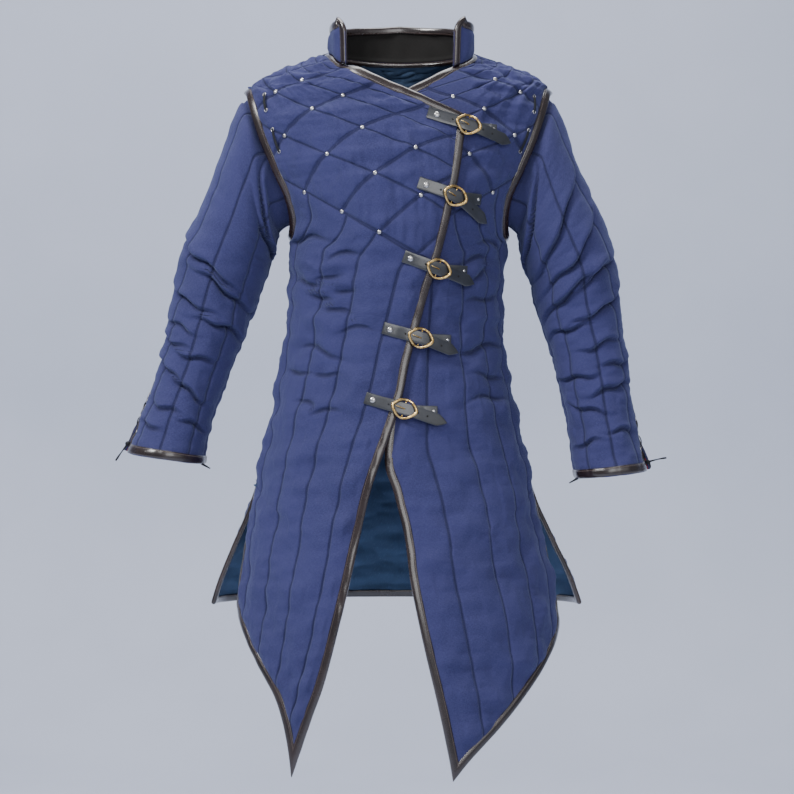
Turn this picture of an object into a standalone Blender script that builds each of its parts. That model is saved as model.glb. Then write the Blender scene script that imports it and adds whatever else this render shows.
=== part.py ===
"""A quilted gambeson with a slanted front closed by five buckled straps.

Metres, +Z up. The wearer faces -Y, so the wearer's right is at -X. The origin is the
middle of the neck, level with the top of the shoulders, where the wearer holds it up.

The body is drawn on a form with two coordinates. The turn is an angle round the body,
0 at the middle of the front, -90 at the wearer's right and 180 at the back. The drop is
a length down from the neck. Every panel, strip and fitting is placed by turn and drop,
and lifted off the form along its normal.
"""
import math

import bmesh
import bpy
import numpy as np
from mathutils import Matrix, Vector
from mathutils.bvhtree import BVHTree

# Cloth
STITCH_LIFT = 0.0055        # outer face of the cloth along a quilting line
PUFF = 0.0045               # how far the padding rises between the lines
OVERLAP_CLOTH = 0.0056      # the left front where it lies under the right one
RISE = 0.0090               # how far the right front is carried over the left one
RISE_TURN = 27.0            # the rise starts this far before the left front's edge
RISE_FULL = 14.0            # and is full this far before it
SEAM_GAP = 0.0006
SEAM_TURN = 0.12            # half a seam's gap, in degrees of turn

# Leather
BINDING_WIDTH = 0.0125
BINDING_LIFT = 0.0068
ARM_BINDING_WIDTH = 0.0115
CUFF_BINDING_WIDTH = 0.0145
CUFF_BINDING_LIFT = 0.0012
STRAP_WIDTH = 0.0185
STRAP_THICKNESS = 0.0022
STRAP_START = 0.009         # from the strap's square end to its rivet
STRAP_STATIONS = 17
STRAP_TIP = (0.95, 0.60, 0.12)      # width of the last stations, as shares
CHAPE_WIDTH = 0.017
CHAPE_LENGTH = 0.050
CHAPE_STATIONS = 8
CHAPE_FALL = (0.001, 0.003)         # drop of its ends, measured from the buckle
CHAPE_THICKNESS = 0.0020
CHAPE_START = 1.6           # degrees of turn from the right front's edge

# Metal
BUCKLE_LENGTH = 0.037
BUCKLE_WIDTH = 0.030
BUCKLE_WIRE = 0.0017
BUCKLE_LIFTS = (0.0192, 0.0268)     # the frame beside the strap, and over it
BUCKLE_POINT = 0.10         # how far its ends stand out and its middle is drawn in, as a share
BUCKLE_SIDES = 18
WIRE_SIDES = 5
BAR_LIFT = 0.0185
BAR_RADIUS = 0.0012
BAR_LENGTH = 0.0276
BAR_SIDES = 6
STRAP_LIFTS = (0.0194, 0.0202, 0.0202, 0.0156, 0.0131)  # underside, from the edge to the tip
STUD_RADIUS = 0.0036
STUD_HEIGHT = 0.0018
RIVET_RADIUS = 0.0040
RIVET_HEIGHT = 0.0020
DOME_SIDES = 8

# The body form, one row per level
# drop, height, half width of the front, of the back, front depth, back depth, parting, centre
FORM = np.array([
    (0.000, 0.004, 0.104, 0.104, 0.070, 0.074, 0.000, 0.005),
    (0.045, -0.010, 0.143, 0.143, 0.080, 0.086, 0.000, 0.004),
    (0.090, -0.027, 0.188, 0.188, 0.091, 0.098, 0.000, 0.003),
    (0.130, -0.044, 0.225, 0.225, 0.101, 0.108, 0.000, 0.002),
    (0.153, -0.060, 0.238, 0.238, 0.107, 0.113, 0.000, 0.002),
    (0.180, -0.085, 0.242, 0.242, 0.114, 0.119, 0.000, 0.002),
    (0.225, -0.130, 0.235, 0.235, 0.124, 0.126, 0.000, 0.002),
    (0.275, -0.180, 0.213, 0.213, 0.132, 0.130, 0.000, 0.002),
    (0.320, -0.225, 0.187, 0.187, 0.135, 0.130, 0.000, 0.002),
    (0.360, -0.265, 0.171, 0.171, 0.134, 0.126, 0.000, 0.003),
    (0.465, -0.370, 0.163, 0.163, 0.126, 0.112, 0.000, -0.002),
    (0.525, -0.430, 0.165, 0.165, 0.123, 0.106, 0.000, -0.004),
    (0.600, -0.505, 0.176, 0.176, 0.126, 0.114, 0.000, -0.005),
    (0.680, -0.585, 0.193, 0.193, 0.136, 0.130, 0.000, -0.005),
    (0.775, -0.680, 0.213, 0.214, 0.150, 0.148, 0.001, -0.005),
    (0.965, -0.870, 0.250, 0.291, 0.166, 0.178, 0.018, -0.001),
    (1.260, -1.165, 0.272, 0.310, 0.176, 0.200, 0.030, 0.000),
])

# Seams and openings, by drop
SHOULDER_TIP = 0.150
ARMPIT = 0.375
ARM_TURN = 27.0             # how far the armhole's edge comes round to the front and back
ARM_SQUARE = 0.62           # under 1, the armhole is squarer than an ellipse
ARM_SPREAD = 0.16           # radius over which a width beside the armhole becomes turn
TURN_LENGTH = 0.0024        # metres round the front for one degree of turn
SLIT_TOP = 0.770
BACK_HEM = 0.968

# Edges of the fronts, as (turn, drop), the left one's turns mirrored
RIGHT_NECK = ((-90, 0.0), (-70, 0.010), (-48.8, 0.033), (-34, 0.065), (-22.5, 0.095),
              (-11.4, 0.126), (-2.9, 0.148), (5.4, 0.165), (13.7, 0.182), (25.2, 0.202))
RIGHT_EDGE = ((25.2, 0.202), (25.1, 0.242), (26.0, 0.288), (26.4, 0.320), (24.7, 0.374),
              (22.1, 0.4185), (17.3, 0.469), (12.9, 0.522), (7.4, 0.584), (4.0, 0.6355),
              (-2.2, 0.701), (-8.4, 0.770), (-13.0, 0.845), (-17.7, 0.939),
              (-24.0, 1.057), (-28.7, 1.118), (-36.0, 1.210))
RIGHT_HEM = ((-80.3, 0.963), (-69.2, 0.994), (-61.8, 1.019), (-53.4, 1.051),
             (-45.0, 1.089), (-40.5, 1.128), (-37.6, 1.172), (-36.0, 1.210))
RIGHT_SLIT = ((-90, SLIT_TOP), (-88.5, 0.824), (-84.5, 0.899), (-80.3, 0.963))
LEFT_NECK = ((-90, 0.0), (-70, 0.012), (-56.9, 0.030), (-27.7, 0.086), (-12.4, 0.132),
             (-3.2, 0.158), (4.0, 0.180))
LEFT_EDGE = ((4.0, 0.180), (1.0, 0.300), (-1.0, 0.450), (1.0, 0.600), (3.8, 0.727),
             (0.0, 0.780), (-3.7, 0.845), (-5.2, 0.912), (-7.3, 0.968), (-9.8, 1.025),
             (-13.4, 1.098), (-16.7, 1.173), (-18.1, 1.212))
LEFT_HEM = ((-83.0, 0.990), (-65.5, 1.034), (-49.4, 1.084), (-34.5, 1.140), (-24.5, 1.180),
            (-18.1, 1.212))
LEFT_SLIT = ((-90, SLIT_TOP), (-89.0, 0.848), (-86.5, 0.920), (-83.0, 0.990))

# Quilting: channel lines as shares of a panel's width from its side, and the yoke
RIGHT_CHANNELS = (0.0, 0.17, 0.42, 0.62, 0.84, 1.0)
LEFT_CHANNELS = (0.0, 0.17, 0.36, 0.57, 0.80, 1.0)
BACK_CHANNELS = tuple(k / 10 for k in range(11))
YOKE_DROP = ((-90, 0.250), (-60, 0.290), (-49, 0.311), (-29, 0.349), (-8, 0.386), (5, 0.410),
             (30, 0.440))
BACK_YOKE_DROP = ((90, 0.300), (135, 0.350), (180, 0.400), (225, 0.350), (270, 0.300))
DIAMOND_TURN = 19.6         # from stud to stud along a row
DIAMOND_FALL = 0.033        # a row falls this much from stud to stud
ROW_TURN = (1.8, -1.8)      # how the rows lean, linear and squared
ROW_DROP = (0.079, 0.009)
DIAMOND_ORIGIN = (-29.1, 0.260)

# Studs by row and place in the row
STUD_ROWS = {-2: (0, 1), -1: (-1, 0, 1, 2), 0: (-1, 0, 1, 2), 1: (-1, 0, 1)}
LEFT_STUDS = {-2: (0, 1), -1: (-1, 0), 0: (-1, 0), 1: (-1,)}

# Closures: turn and drop of the rivet, the buckle and the strap's tip
CLOSURES = (
    ((13.8, 0.205), (25.6, 0.219), (46.5, 0.240)),
    ((12.0, 0.311), (25.4, 0.325), (48.0, 0.363)),
    ((6.5, 0.421), (20.8, 0.436), (43.5, 0.458)),
    ((-2.1, 0.531), (12.7, 0.544), (33.0, 0.567)),
    ((-9.3, 0.641), (4.6, 0.655), (23.6, 0.676)),
)

# Sleeves, one row per section: outer edge x and z, inner edge x and z, centre y, half depth
RIGHT_SLEEVE = np.array([
    (0.249, -0.072, 0.1870, -0.272, 0.001, 0.066),
    (0.264, -0.109, 0.1910, -0.284, 0.001, 0.072),
    (0.283, -0.160, 0.1945, -0.295, 0.001, 0.077),
    (0.306, -0.221, 0.1985, -0.309, 0.002, 0.078),
    (0.325, -0.266, 0.2030, -0.325, 0.003, 0.077),
    (0.341, -0.304, 0.2080, -0.345, 0.004, 0.074),
    (0.354, -0.360, 0.2256, -0.389, 0.005, 0.069),
    (0.366, -0.426, 0.2464, -0.445, 0.004, 0.064),
    (0.378, -0.485, 0.2704, -0.509, -0.002, 0.059),
    (0.400, -0.557, 0.2960, -0.582, -0.013, 0.056),
    (0.419, -0.608, 0.3040, -0.627, -0.021, 0.058),
    (0.427, -0.627, 0.3060, -0.645, -0.024, 0.060),
])
LEFT_SLEEVE = np.array([
    (0.251, -0.072, 0.1900, -0.274, 0.001, 0.066),
    (0.267, -0.110, 0.1940, -0.287, 0.001, 0.072),
    (0.287, -0.166, 0.1970, -0.301, 0.001, 0.077),
    (0.307, -0.214, 0.2000, -0.319, 0.002, 0.078),
    (0.330, -0.266, 0.2070, -0.341, 0.003, 0.077),
    (0.347, -0.318, 0.2160, -0.360, 0.004, 0.074),
    (0.355, -0.384, 0.2270, -0.410, 0.005, 0.069),
    (0.362, -0.445, 0.2480, -0.467, 0.004, 0.064),
    (0.370, -0.512, 0.2608, -0.528, -0.002, 0.059),
    (0.376, -0.573, 0.2720, -0.584, -0.013, 0.056),
    (0.389, -0.634, 0.2800, -0.646, -0.021, 0.058),
    (0.395, -0.656, 0.2830, -0.668, -0.024, 0.060),
])
SLEEVE_CHANNELS = 8         # lengthwise quilting channels round a sleeve
SLEEVE_WALL = 0.0045        # thinnest wall of a sleeve
SLEEVE_PUFF = 0.0030
SLEEVE_TUCK = 0.006         # how far the sleeve's head reaches under the armhole's edge
SLEEVE_SEAT = -0.0010       # lift of its top, which the armhole's strip carries
SLEEVE_SEAT_ANGLE = 0.75
SLEEVE_CLEAR = -0.0130      # lift of the sleeve's head, inside the body's wall
CUFF_SLIT_ROWS = 6          # rows of the sleeve that the slit above the cuff opens
CUFF_SLIT_GAP = 0.012
SLIT_ANGLE = -0.35          # where round the sleeve the slit lies

# Deep folds across a sleeve: share of its length, depth, width as a share, where round it
SLEEVE_FOLDS = (
    (0.20, 0.0060, 0.022, 2.6),
    (0.28, 0.0050, 0.020, 3.4),
    (0.37, 0.0065, 0.022, 2.9),
    (0.47, 0.0055, 0.020, 1.2),
    (0.55, 0.0070, 0.022, 2.4),
    (0.64, 0.0045, 0.018, 0.6),
    (0.73, 0.0060, 0.020, 2.7),
    (0.83, 0.0050, 0.018, 1.7),
)

# Collar, by how far round from the front: height of its top, lean outwards
COLLAR = ((0, 0.049, 0.004), (40, 0.049, 0.004), (62, 0.048, -0.004), (90, 0.048, -0.012),
          (135, 0.062, -0.006), (180, 0.070, 0.000))
COLLAR_RIGHT_END = -28.0
COLLAR_LEFT_END = 29.0
RIGHT_NECK_CORNER = -49.0    # where the panels' grids turn from the neck to the front edge
LEFT_NECK_CORNER = -55.0
COLLAR_WALL = 0.0050
COLLAR_STEP = 0.0010        # from the neck's edge to the collar's inner face
COLLAR_PUFF = 0.0024

# Mesh sizes: columns and rows of each piece, all even
FRONT_COLUMNS, BACK_COLUMNS = 16, 30
FRONT_SIDE_ROWS = (6, 14, 16, 10)   # shoulder seam, armhole, side seam, slit
BACK_SIDE_ROWS = (6, 8, 10, 8)
FRONT_NECK_ROWS = 11                # rows that end on the neckline in front of the collar
SLEEVE_COLUMNS, SLEEVE_ROWS = 24, 30
COLLAR_COLUMNS = 28

# Colours
NAVY = (0.030, 0.047, 0.155, 1.0)
LEATHER = (0.020, 0.013, 0.010, 1.0)
STRAP_LEATHER = (0.030, 0.030, 0.032, 1.0)
BRASS = (0.62, 0.42, 0.16, 1.0)
STEEL = (0.60, 0.60, 0.62, 1.0)


def clear_scene():
    """Remove every object of the scene."""
    for obj in list(bpy.data.objects):
        bpy.data.objects.remove(obj, do_unlink=True)


def material(name, colour, roughness, metallic=0.0):
    """A Principled material of one colour."""
    mat = bpy.data.materials.new(name)
    mat.use_nodes = True
    shader = mat.node_tree.nodes["Principled BSDF"]
    shader.inputs["Base Color"].default_value = colour
    shader.inputs["Roughness"].default_value = roughness
    shader.inputs["Metallic"].default_value = metallic
    mat.diffuse_color = colour
    return mat


def add_object(name, bm, mat):
    """Make a bmesh an object with one material and faces pointing out."""
    bmesh.ops.recalc_face_normals(bm, faces=bm.faces)
    if bm.calc_volume(signed=True) < 0:
        bmesh.ops.reverse_faces(bm, faces=bm.faces)
    mesh = bpy.data.meshes.new(name)
    bm.to_mesh(mesh)
    bm.free()
    mesh.materials.append(mat)
    mesh.shade_smooth()
    obj = bpy.data.objects.new(name, mesh)
    bpy.context.scene.collection.objects.link(obj)
    return obj


def smooth_curve(x, xs, ys):
    """Read a smooth curve through the points (xs, ys) at x."""
    x = np.clip(x, xs[0], xs[-1])
    steps = np.diff(xs)
    slopes = np.diff(ys) / steps
    tangents = np.empty_like(ys)
    tangents[0], tangents[-1] = slopes[0], slopes[-1]
    tangents[1:-1] = ((slopes[:-1] * steps[1:] + slopes[1:] * steps[:-1])
                      / (steps[:-1] + steps[1:]))
    i = np.clip(np.searchsorted(xs, x) - 1, 0, len(xs) - 2)
    s = (x - xs[i]) / steps[i]
    return (ys[i] * (2 * s**3 - 3 * s**2 + 1) + tangents[i] * steps[i] * (s**3 - 2 * s**2 + s)
            + ys[i + 1] * (-2 * s**3 + 3 * s**2) + tangents[i + 1] * steps[i] * (s**3 - s**2))


def ease(x):
    """A smooth step from 0 to 1."""
    x = np.clip(x, 0.0, 1.0)
    return x * x * (3 - 2 * x)


def form(turn, drop, back=False):
    """Points of the body form at a turn and a drop."""
    turn, drop = np.broadcast_arrays(np.asarray(turn, float), np.asarray(drop, float))
    z, front_half, back_half, front_deep, back_deep, parting, centre = [
        smooth_curve(drop, FORM[:, 0], FORM[:, k]) for k in range(1, 8)]
    angle = np.radians(turn)
    half = back_half if back else front_half
    deep = back_deep if back else front_deep
    shift = parting if back else -parting
    return np.stack([centre + half * np.sin(angle), shift - deep * np.cos(angle), z], -1)


def frame_at(turn, drop, back=False):
    """The form's tangents per degree and per metre of drop, and its unit normal."""
    step_turn, step_drop = 0.5, 0.002
    along = (form(turn + step_turn, drop, back) - form(turn - step_turn, drop, back))
    along /= 2 * step_turn
    above = np.maximum(np.asarray(drop, float) - step_drop, 0.0)
    down = form(turn, above + 2 * step_drop, back) - form(turn, above, back)
    down /= 2 * step_drop
    normal = np.cross(down, along)
    normal /= np.linalg.norm(normal, axis=-1, keepdims=True)
    return along, down, normal


def place(turn, drop, lift, back=False):
    """Points at a turn, a drop and a lift off the form."""
    turn, drop, lift = np.broadcast_arrays(np.asarray(turn, float), np.asarray(drop, float),
                                           np.asarray(lift, float))
    _, _, normal = frame_at(turn, drop, back)
    return form(turn, drop, back) + normal * lift[..., None]


def resample(curve, count, back=False):
    """Read count points, evenly spaced on the form, along a (turn, drop) curve."""
    curve = np.asarray(curve, float)
    knots = np.arange(len(curve), dtype=float)
    fine = np.linspace(0, knots[-1], 12 * len(curve))
    dense = np.stack([smooth_curve(fine, knots, curve[:, k]) for k in (0, 1)], -1)
    points = form(dense[:, 0], dense[:, 1], back)
    length = np.concatenate([[0], np.cumsum(np.linalg.norm(np.diff(points, axis=0), axis=1))])
    want = np.linspace(0, length[-1], count)
    return np.stack([np.interp(want, length, dense[:, k]) for k in (0, 1)], -1)


def inset(curve, width, back=False):
    """Move a (turn, drop) curve sideways over the form, mitred at its corners.

    A positive width moves it to the left of its direction, seen from outside.
    """
    turn, drop = curve[:, 0], curve[:, 1]
    points = form(turn, drop, back)
    along, down, normal = frame_at(turn, drop, back)
    steps = np.diff(points, axis=0)
    before = np.concatenate([steps[:1], steps])
    after = np.concatenate([steps, steps[-1:]])
    sides = []
    for step in (before, after):
        side = np.cross(normal, step)
        sides.append(side / np.linalg.norm(side, axis=1, keepdims=True))
    middle = sides[0] + sides[1]
    middle /= np.linalg.norm(middle, axis=1, keepdims=True)
    mitre = np.maximum(np.sum(middle * sides[0], axis=1), 0.30)
    move = middle * (width / mitre)[:, None]
    result = np.empty_like(curve)
    for i, (a, d, m) in enumerate(zip(along, down, move)):
        change = np.linalg.lstsq(np.stack([a, d], 1), m, rcond=None)[0]
        result[i] = curve[i] + change
    return result


def armhole(psi, width=0.0):
    """The armhole's edge as (turn, drop) at angles round it, 0 at the shoulder."""
    psi = np.atleast_1d(np.asarray(psi, float))
    middle = (SHOULDER_TIP + ARMPIT) / 2
    half = (ARMPIT - SHOULDER_TIP) / 2 + width
    reach = ARM_TURN + np.degrees(width / ARM_SPREAD)
    wave = np.sign(np.sin(psi)) * np.abs(np.sin(psi)) ** ARM_SQUARE
    return np.stack([-90 + reach * wave, middle - half * np.cos(psi)], -1)


def quilt_profile(share):
    """Rise of the padding, 0 on a stitched line and 1 in the middle between two."""
    return np.sin(np.clip(share, 0, 1) * math.pi / 2) ** 0.7


def channel_relief(share, lines):
    """Relief of the upright channels at shares of the panel's width."""
    lines = np.asarray(lines)
    k = np.clip(np.searchsorted(lines, share, side="right") - 1, 0, len(lines) - 2)
    inside = (share - lines[k]) / (lines[k + 1] - lines[k])
    return quilt_profile(2 * np.minimum(inside, 1 - inside))


def diamond_place(turn, drop):
    """Place in the diamond quilting, as (place in the row, row)."""
    turn = np.asarray(turn, float)
    fall = DIAMOND_FALL / DIAMOND_TURN
    a = ROW_DROP[1] - fall * ROW_TURN[1]
    b = ROW_DROP[0] - fall * ROW_TURN[0]
    c = fall * (turn - DIAMOND_ORIGIN[0]) - (np.asarray(drop, float) - DIAMOND_ORIGIN[1])
    row = (-b + np.sqrt(np.maximum(b * b - 4 * a * c, 0.0))) / (2 * a)
    across = turn - DIAMOND_ORIGIN[0] - ROW_TURN[0] * row - ROW_TURN[1] * row * row
    return across / DIAMOND_TURN, row


def diamond_point(place_in_row, row):
    """The (turn, drop) of a crossing of the diamond quilting."""
    turn = (DIAMOND_ORIGIN[0] + DIAMOND_TURN * place_in_row + ROW_TURN[0] * row
            + ROW_TURN[1] * row * row)
    drop = (DIAMOND_ORIGIN[1] + DIAMOND_FALL * place_in_row + ROW_DROP[0] * row
            + ROW_DROP[1] * row * row)
    return turn, drop


def diamond_relief(turn, drop):
    """Relief of the yoke's diamonds."""
    across, row = diamond_place(turn, drop)
    diagonal = across + row
    near_row = 2 * np.abs(row - np.round(row))
    near_diagonal = 2 * np.abs(diagonal - np.round(diagonal))
    return quilt_profile(np.minimum(near_row, near_diagonal))


def padded_lift(turn, drop, share, lines, yoke):
    """Lift of the cloth's outer face with diamonds in the yoke and channels below."""
    yoke = np.asarray(yoke, float)
    border = np.interp(turn, yoke[:, 0], yoke[:, 1])
    mirrored = np.where(turn > 90, -np.abs(180 - turn) * 0.6 - 15, turn)
    relief = np.where(drop < border, diamond_relief(mirrored, drop),
                      channel_relief(share, lines))
    return STITCH_LIFT + PUFF * relief


def patch(top, right, bottom, left, rows, shares):
    """Fill four edges with a grid of (turn, drop), rows from the top down."""
    down = np.linspace(0, 1, rows + 1)[:, None, None]
    across = shares[None, :, None]
    return ((1 - across) * left[:, None] + across * right[:, None]
            + (1 - down) * top[None] + down * bottom[None]
            - (1 - down) * (1 - across) * top[0] - (1 - down) * across * top[-1]
            - down * (1 - across) * bottom[0] - down * across * bottom[-1])


def column_shares(lines, columns):
    """Shares of the width for the mesh's columns, so that each quilting line has one."""
    lines = np.asarray(lines)
    widths = np.diff(lines)
    counts = np.maximum(2, np.round(widths * columns).astype(int))
    while counts.sum() > columns:
        counts[np.argmax(counts / widths)] -= 1
    while counts.sum() < columns:
        counts[np.argmin(counts / widths)] += 1
    shares = [np.linspace(a, b, n, endpoint=False) for a, b, n in zip(lines, lines[1:], counts)]
    return np.append(np.concatenate(shares), 1.0)


def wall(outer, inner, joined_rows=-1):
    """A closed wall between two grids, the inner one coarser away from its edges.

    Rows up to joined_rows close round, so that their first and last columns are one.
    """
    rows, columns = outer.shape[0] - 1, outer.shape[1] - 1
    first = max(joined_rows, 0)
    bm = bmesh.new()

    def vertices(points, used):
        grid = {}
        for r in range(rows + 1):
            for c in range(columns + 1):
                if r <= joined_rows and c == columns:
                    grid[r, c] = grid.get((r, 0))
                elif used(r, c):
                    grid[r, c] = bm.verts.new(points[r, c])
        return grid

    def on_inner(r, c):
        if r in (0, rows) or (c in (0, columns) and r >= first):
            return True
        return r % 2 == 0 and c % 2 == 0

    front = vertices(outer, lambda r, c: True)
    rear = vertices(inner, on_inner)
    for r in range(rows):
        for c in range(columns):
            bm.faces.new((front[r, c], front[r, c + 1], front[r + 1, c + 1], front[r + 1, c]))
    for r in range(0, rows, 2):
        for c in range(0, columns, 2):
            loop = [(r, c), (r, c + 1), (r, c + 2), (r + 1, c + 2), (r + 2, c + 2),
                    (r + 2, c + 1), (r + 2, c), (r + 1, c)]
            keep = [True, r == 0, True, c + 2 == columns and r >= first, True,
                    r + 2 == rows, True, c == 0 and r >= first]
            corners = [rear[key] for key, used in zip(loop, keep) if used]
            bm.faces.new(corners[::-1])
    for c in range(columns):
        bm.faces.new((front[0, c + 1], front[0, c], rear[0, c], rear[0, c + 1]))
        bm.faces.new((front[rows, c], front[rows, c + 1], rear[rows, c + 1], rear[rows, c]))
    if joined_rows < rows:
        for r in range(first, rows):
            bm.faces.new((front[r, 0], front[r + 1, 0], rear[r + 1, 0], rear[r, 0]))
            bm.faces.new((front[r + 1, columns], front[r, columns], rear[r, columns],
                          rear[r + 1, columns]))
    return bm


def strip(edge, inner_edge, low, high, back=None, closed=False):
    """A closed strip between two (turn, drop) curves, from a low to a high lift.

    back tells for each point whether it lies on the back's form.
    """
    count = len(edge)
    back = np.zeros(count, bool) if back is None else np.broadcast_to(back, count)
    low = np.broadcast_to(low, count)
    high = np.broadcast_to(high, count)
    bm = bmesh.new()
    rings = []
    for i in range(count):
        corners = []
        for point, lift in ((edge[i], low[i]), (edge[i], high[i]), (inner_edge[i], high[i]),
                            (inner_edge[i], low[i])):
            corners.append(bm.verts.new(place(point[0], point[1], lift, bool(back[i]))))
        rings.append(corners)
    close_strip(bm, rings, closed)
    return bm


def mirror_x(curve):
    """The same curve on the wearer's other side."""
    return np.asarray(curve, float) * (-1, 1)


def joined(*curves):
    """One curve from several that meet end to end."""
    parts = [np.asarray(curves[0], float)]
    parts += [np.asarray(curve, float)[1:] for curve in curves[1:]]
    return np.concatenate(parts)


def overlap_rise(turn, drop):
    """How far the right front is carried up where the left one lies under it."""
    under = np.asarray(LEFT_EDGE[:5], float)
    border = np.interp(drop, under[:, 1], -under[:, 0])
    across = ease((turn - border + RISE_TURN) / (RISE_TURN - RISE_FULL))
    return RISE * across * (1 - ease((drop - 0.735) / 0.10))


def over_edge(drop):
    """The turn of the right front's edge at a drop."""
    edge = np.asarray(RIGHT_EDGE, float)
    return np.interp(drop, edge[:, 1], edge[:, 0])


def trimmed(curves):
    """Cut each curve where it crosses the one before it and the one after it."""
    result = [np.array(curve) for curve in curves]
    for k in range(len(result) - 1):
        one, two = result[k], result[k + 1]
        best = None
        for i in range(len(one) - 1, 0, -1):
            a, b = one[i - 1], one[i]
            for j in range(len(two) - 1):
                c, d = two[j], two[j + 1]
                table = np.array([b - a, c - d]).T
                if abs(np.linalg.det(table)) < 1e-12:
                    continue
                s, t = np.linalg.solve(table, c - a)
                if -1e-9 <= s <= 1 + 1e-9 and -1e-9 <= t <= 1 + 1e-9:
                    best = (i, j, a + s * (b - a))
                    break
            if best:
                break
        i, j, point = best
        result[k] = np.concatenate([one[:i], [point]])
        result[k + 1] = np.concatenate([[point], two[j + 1:]])
    return result


def bound_edges(edges, back=False):
    """Each edge with the cloth's edge beside it, inside the binding and its gap."""
    dense = [resample(edge, 160, back) for edge in edges]
    inner = trimmed([inset(edge, -(BINDING_WIDTH + SEAM_GAP), back) for edge in dense])
    return list(zip(dense, inner))


def arm_stations(count):
    """Angles round half an armhole that are evenly spaced along its edge."""
    psi = np.linspace(0, math.pi, 400)
    curve = armhole(psi)
    points = form(curve[:, 0], curve[:, 1])
    length = np.concatenate([[0], np.cumsum(np.linalg.norm(np.diff(points, axis=0), axis=1))])
    return np.interp(np.linspace(0, length[-1], count), length, psi)


def side_line(seam, neck_drop, slit, rows):
    """The panel's side: shoulder seam, armhole, side seam and slit, row by row."""
    shoulder, arm_rows, side, slit_rows = rows
    arm = armhole(arm_stations(arm_rows + 1), ARM_BINDING_WIDTH + 1.5 * SEAM_GAP)
    arm[[0, -1], 0] = seam
    upper = [(seam, drop) for drop in np.linspace(neck_drop, arm[0, 1], shoulder + 1)]
    lower = [(seam, drop) for drop in np.linspace(arm[-1, 1], SLIT_TOP - 0.006, side + 1)]
    below = at_line(slit, slit_shares(slit_rows))
    return np.concatenate([upper[:-1], arm, lower[1:], below])


def slit_shares(rows):
    """Shares of a slit's length for its rows, the first one just below its top."""
    return np.linspace(0.03, 1.0, rows)


def at_line(curve, shares, back=False):
    """Read a dense (turn, drop) line at shares of its length over the form."""
    points = form(curve[:, 0], curve[:, 1], back)
    length = np.concatenate([[0], np.cumsum(np.linalg.norm(np.diff(points, axis=0), axis=1))])
    want = np.asarray(shares) * length[-1]
    return np.stack([np.interp(want, length, curve[:, k]) for k in (0, 1)], -1)


def front_panel(name, edges, collar_end, lines, mirrored, low_lift, high_lift, mat):
    """One front: its cloth inside the bindings, on turns as on the wearer's right."""
    (neck, neck_in), (edge, edge_in), (hem, hem_in), (slit, slit_in) = bound_edges(edges)
    seam = -90 + SEAM_TURN
    neck[0, 0] = seam
    rows = sum(FRONT_SIDE_ROWS)
    shares = column_shares(lines, FRONT_COLUMNS)
    along_neck = np.linspace(0, 1, FRONT_NECK_ROWS + 1)
    along_edge = np.linspace(0, 1, rows - FRONT_NECK_ROWS + 1)
    corner = int(np.searchsorted(neck[:, 0], collar_end))
    inner_corner = neck_in[corner]
    neck_in = from_seam(neck_in, seam)
    corner_in = int(np.argmin(np.linalg.norm((neck_in - inner_corner) * (0.002, 1), axis=1)))
    left = side_line(seam, neck_in[0, 1], slit_in[::-1], FRONT_SIDE_ROWS)
    top = at_line(neck_in[:corner_in + 1], shares)
    right = joined(at_line(neck_in[corner_in:], along_neck), at_line(edge_in, along_edge))
    bottom = at_line(hem_in[::-1], shares)
    grid = patch(top, right, bottom, left, rows, shares)
    turn, drop = grid[..., 0], grid[..., 1]
    sign = -1 if mirrored else 1
    outer = place(sign * turn, drop, high_lift(turn, drop, np.broadcast_to(shares, turn.shape)))
    inner = place(sign * turn, drop, low_lift(turn, drop))
    bm = wall(outer, inner)
    tree = BVHTree.FromBMesh(bm)
    add_object(name, bm, mat)
    slit_part = slit_shares(FRONT_SIDE_ROWS[3])[::-1]
    border = joined(at_line(neck[:corner + 1], shares), at_line(neck[corner:], along_neck),
                    at_line(edge, along_edge), at_line(hem[::-1], shares)[::-1],
                    joined(hem[-1:], at_line(slit[::-1], slit_part)))
    cloth_edge = joined(top, right, bottom[::-1], left[-FRONT_SIDE_ROWS[3]:][::-1])
    share = BINDING_WIDTH / (BINDING_WIDTH + SEAM_GAP)
    return tree, border, border + (cloth_edge - border) * share


def from_seam(curve, seam):
    """Cut a curve's start where it passes the shoulder seam."""
    first = int(np.argmax(curve[:, 0] > seam))
    if first == 0:
        return np.concatenate([[(seam, curve[0, 1])], curve[1:]])
    start, stop = curve[first - 1], curve[first]
    share = (seam - start[0]) / (stop[0] - start[0])
    return np.concatenate([[start + (stop - start) * share], curve[first:]])


def right_low(turn, drop):
    """Inner face of the right front."""
    return overlap_rise(turn, drop)


def right_high(turn, drop, share):
    """Outer face of the right front."""
    return overlap_rise(turn, drop) + padded_lift(turn, drop, share, RIGHT_CHANNELS, YOKE_DROP)


def left_low(turn, drop):
    """Inner face of the left front."""
    return np.zeros_like(turn)


def left_high(turn, drop, share):
    """Outer face of the left front, plain where the right one covers it."""
    shown = ease((-turn - over_edge(drop) - 1.0) / 6)
    lift = padded_lift(turn, drop, share, LEFT_CHANNELS, YOKE_DROP)
    return OVERLAP_CLOTH + (lift - OVERLAP_CLOTH) * shown


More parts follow.
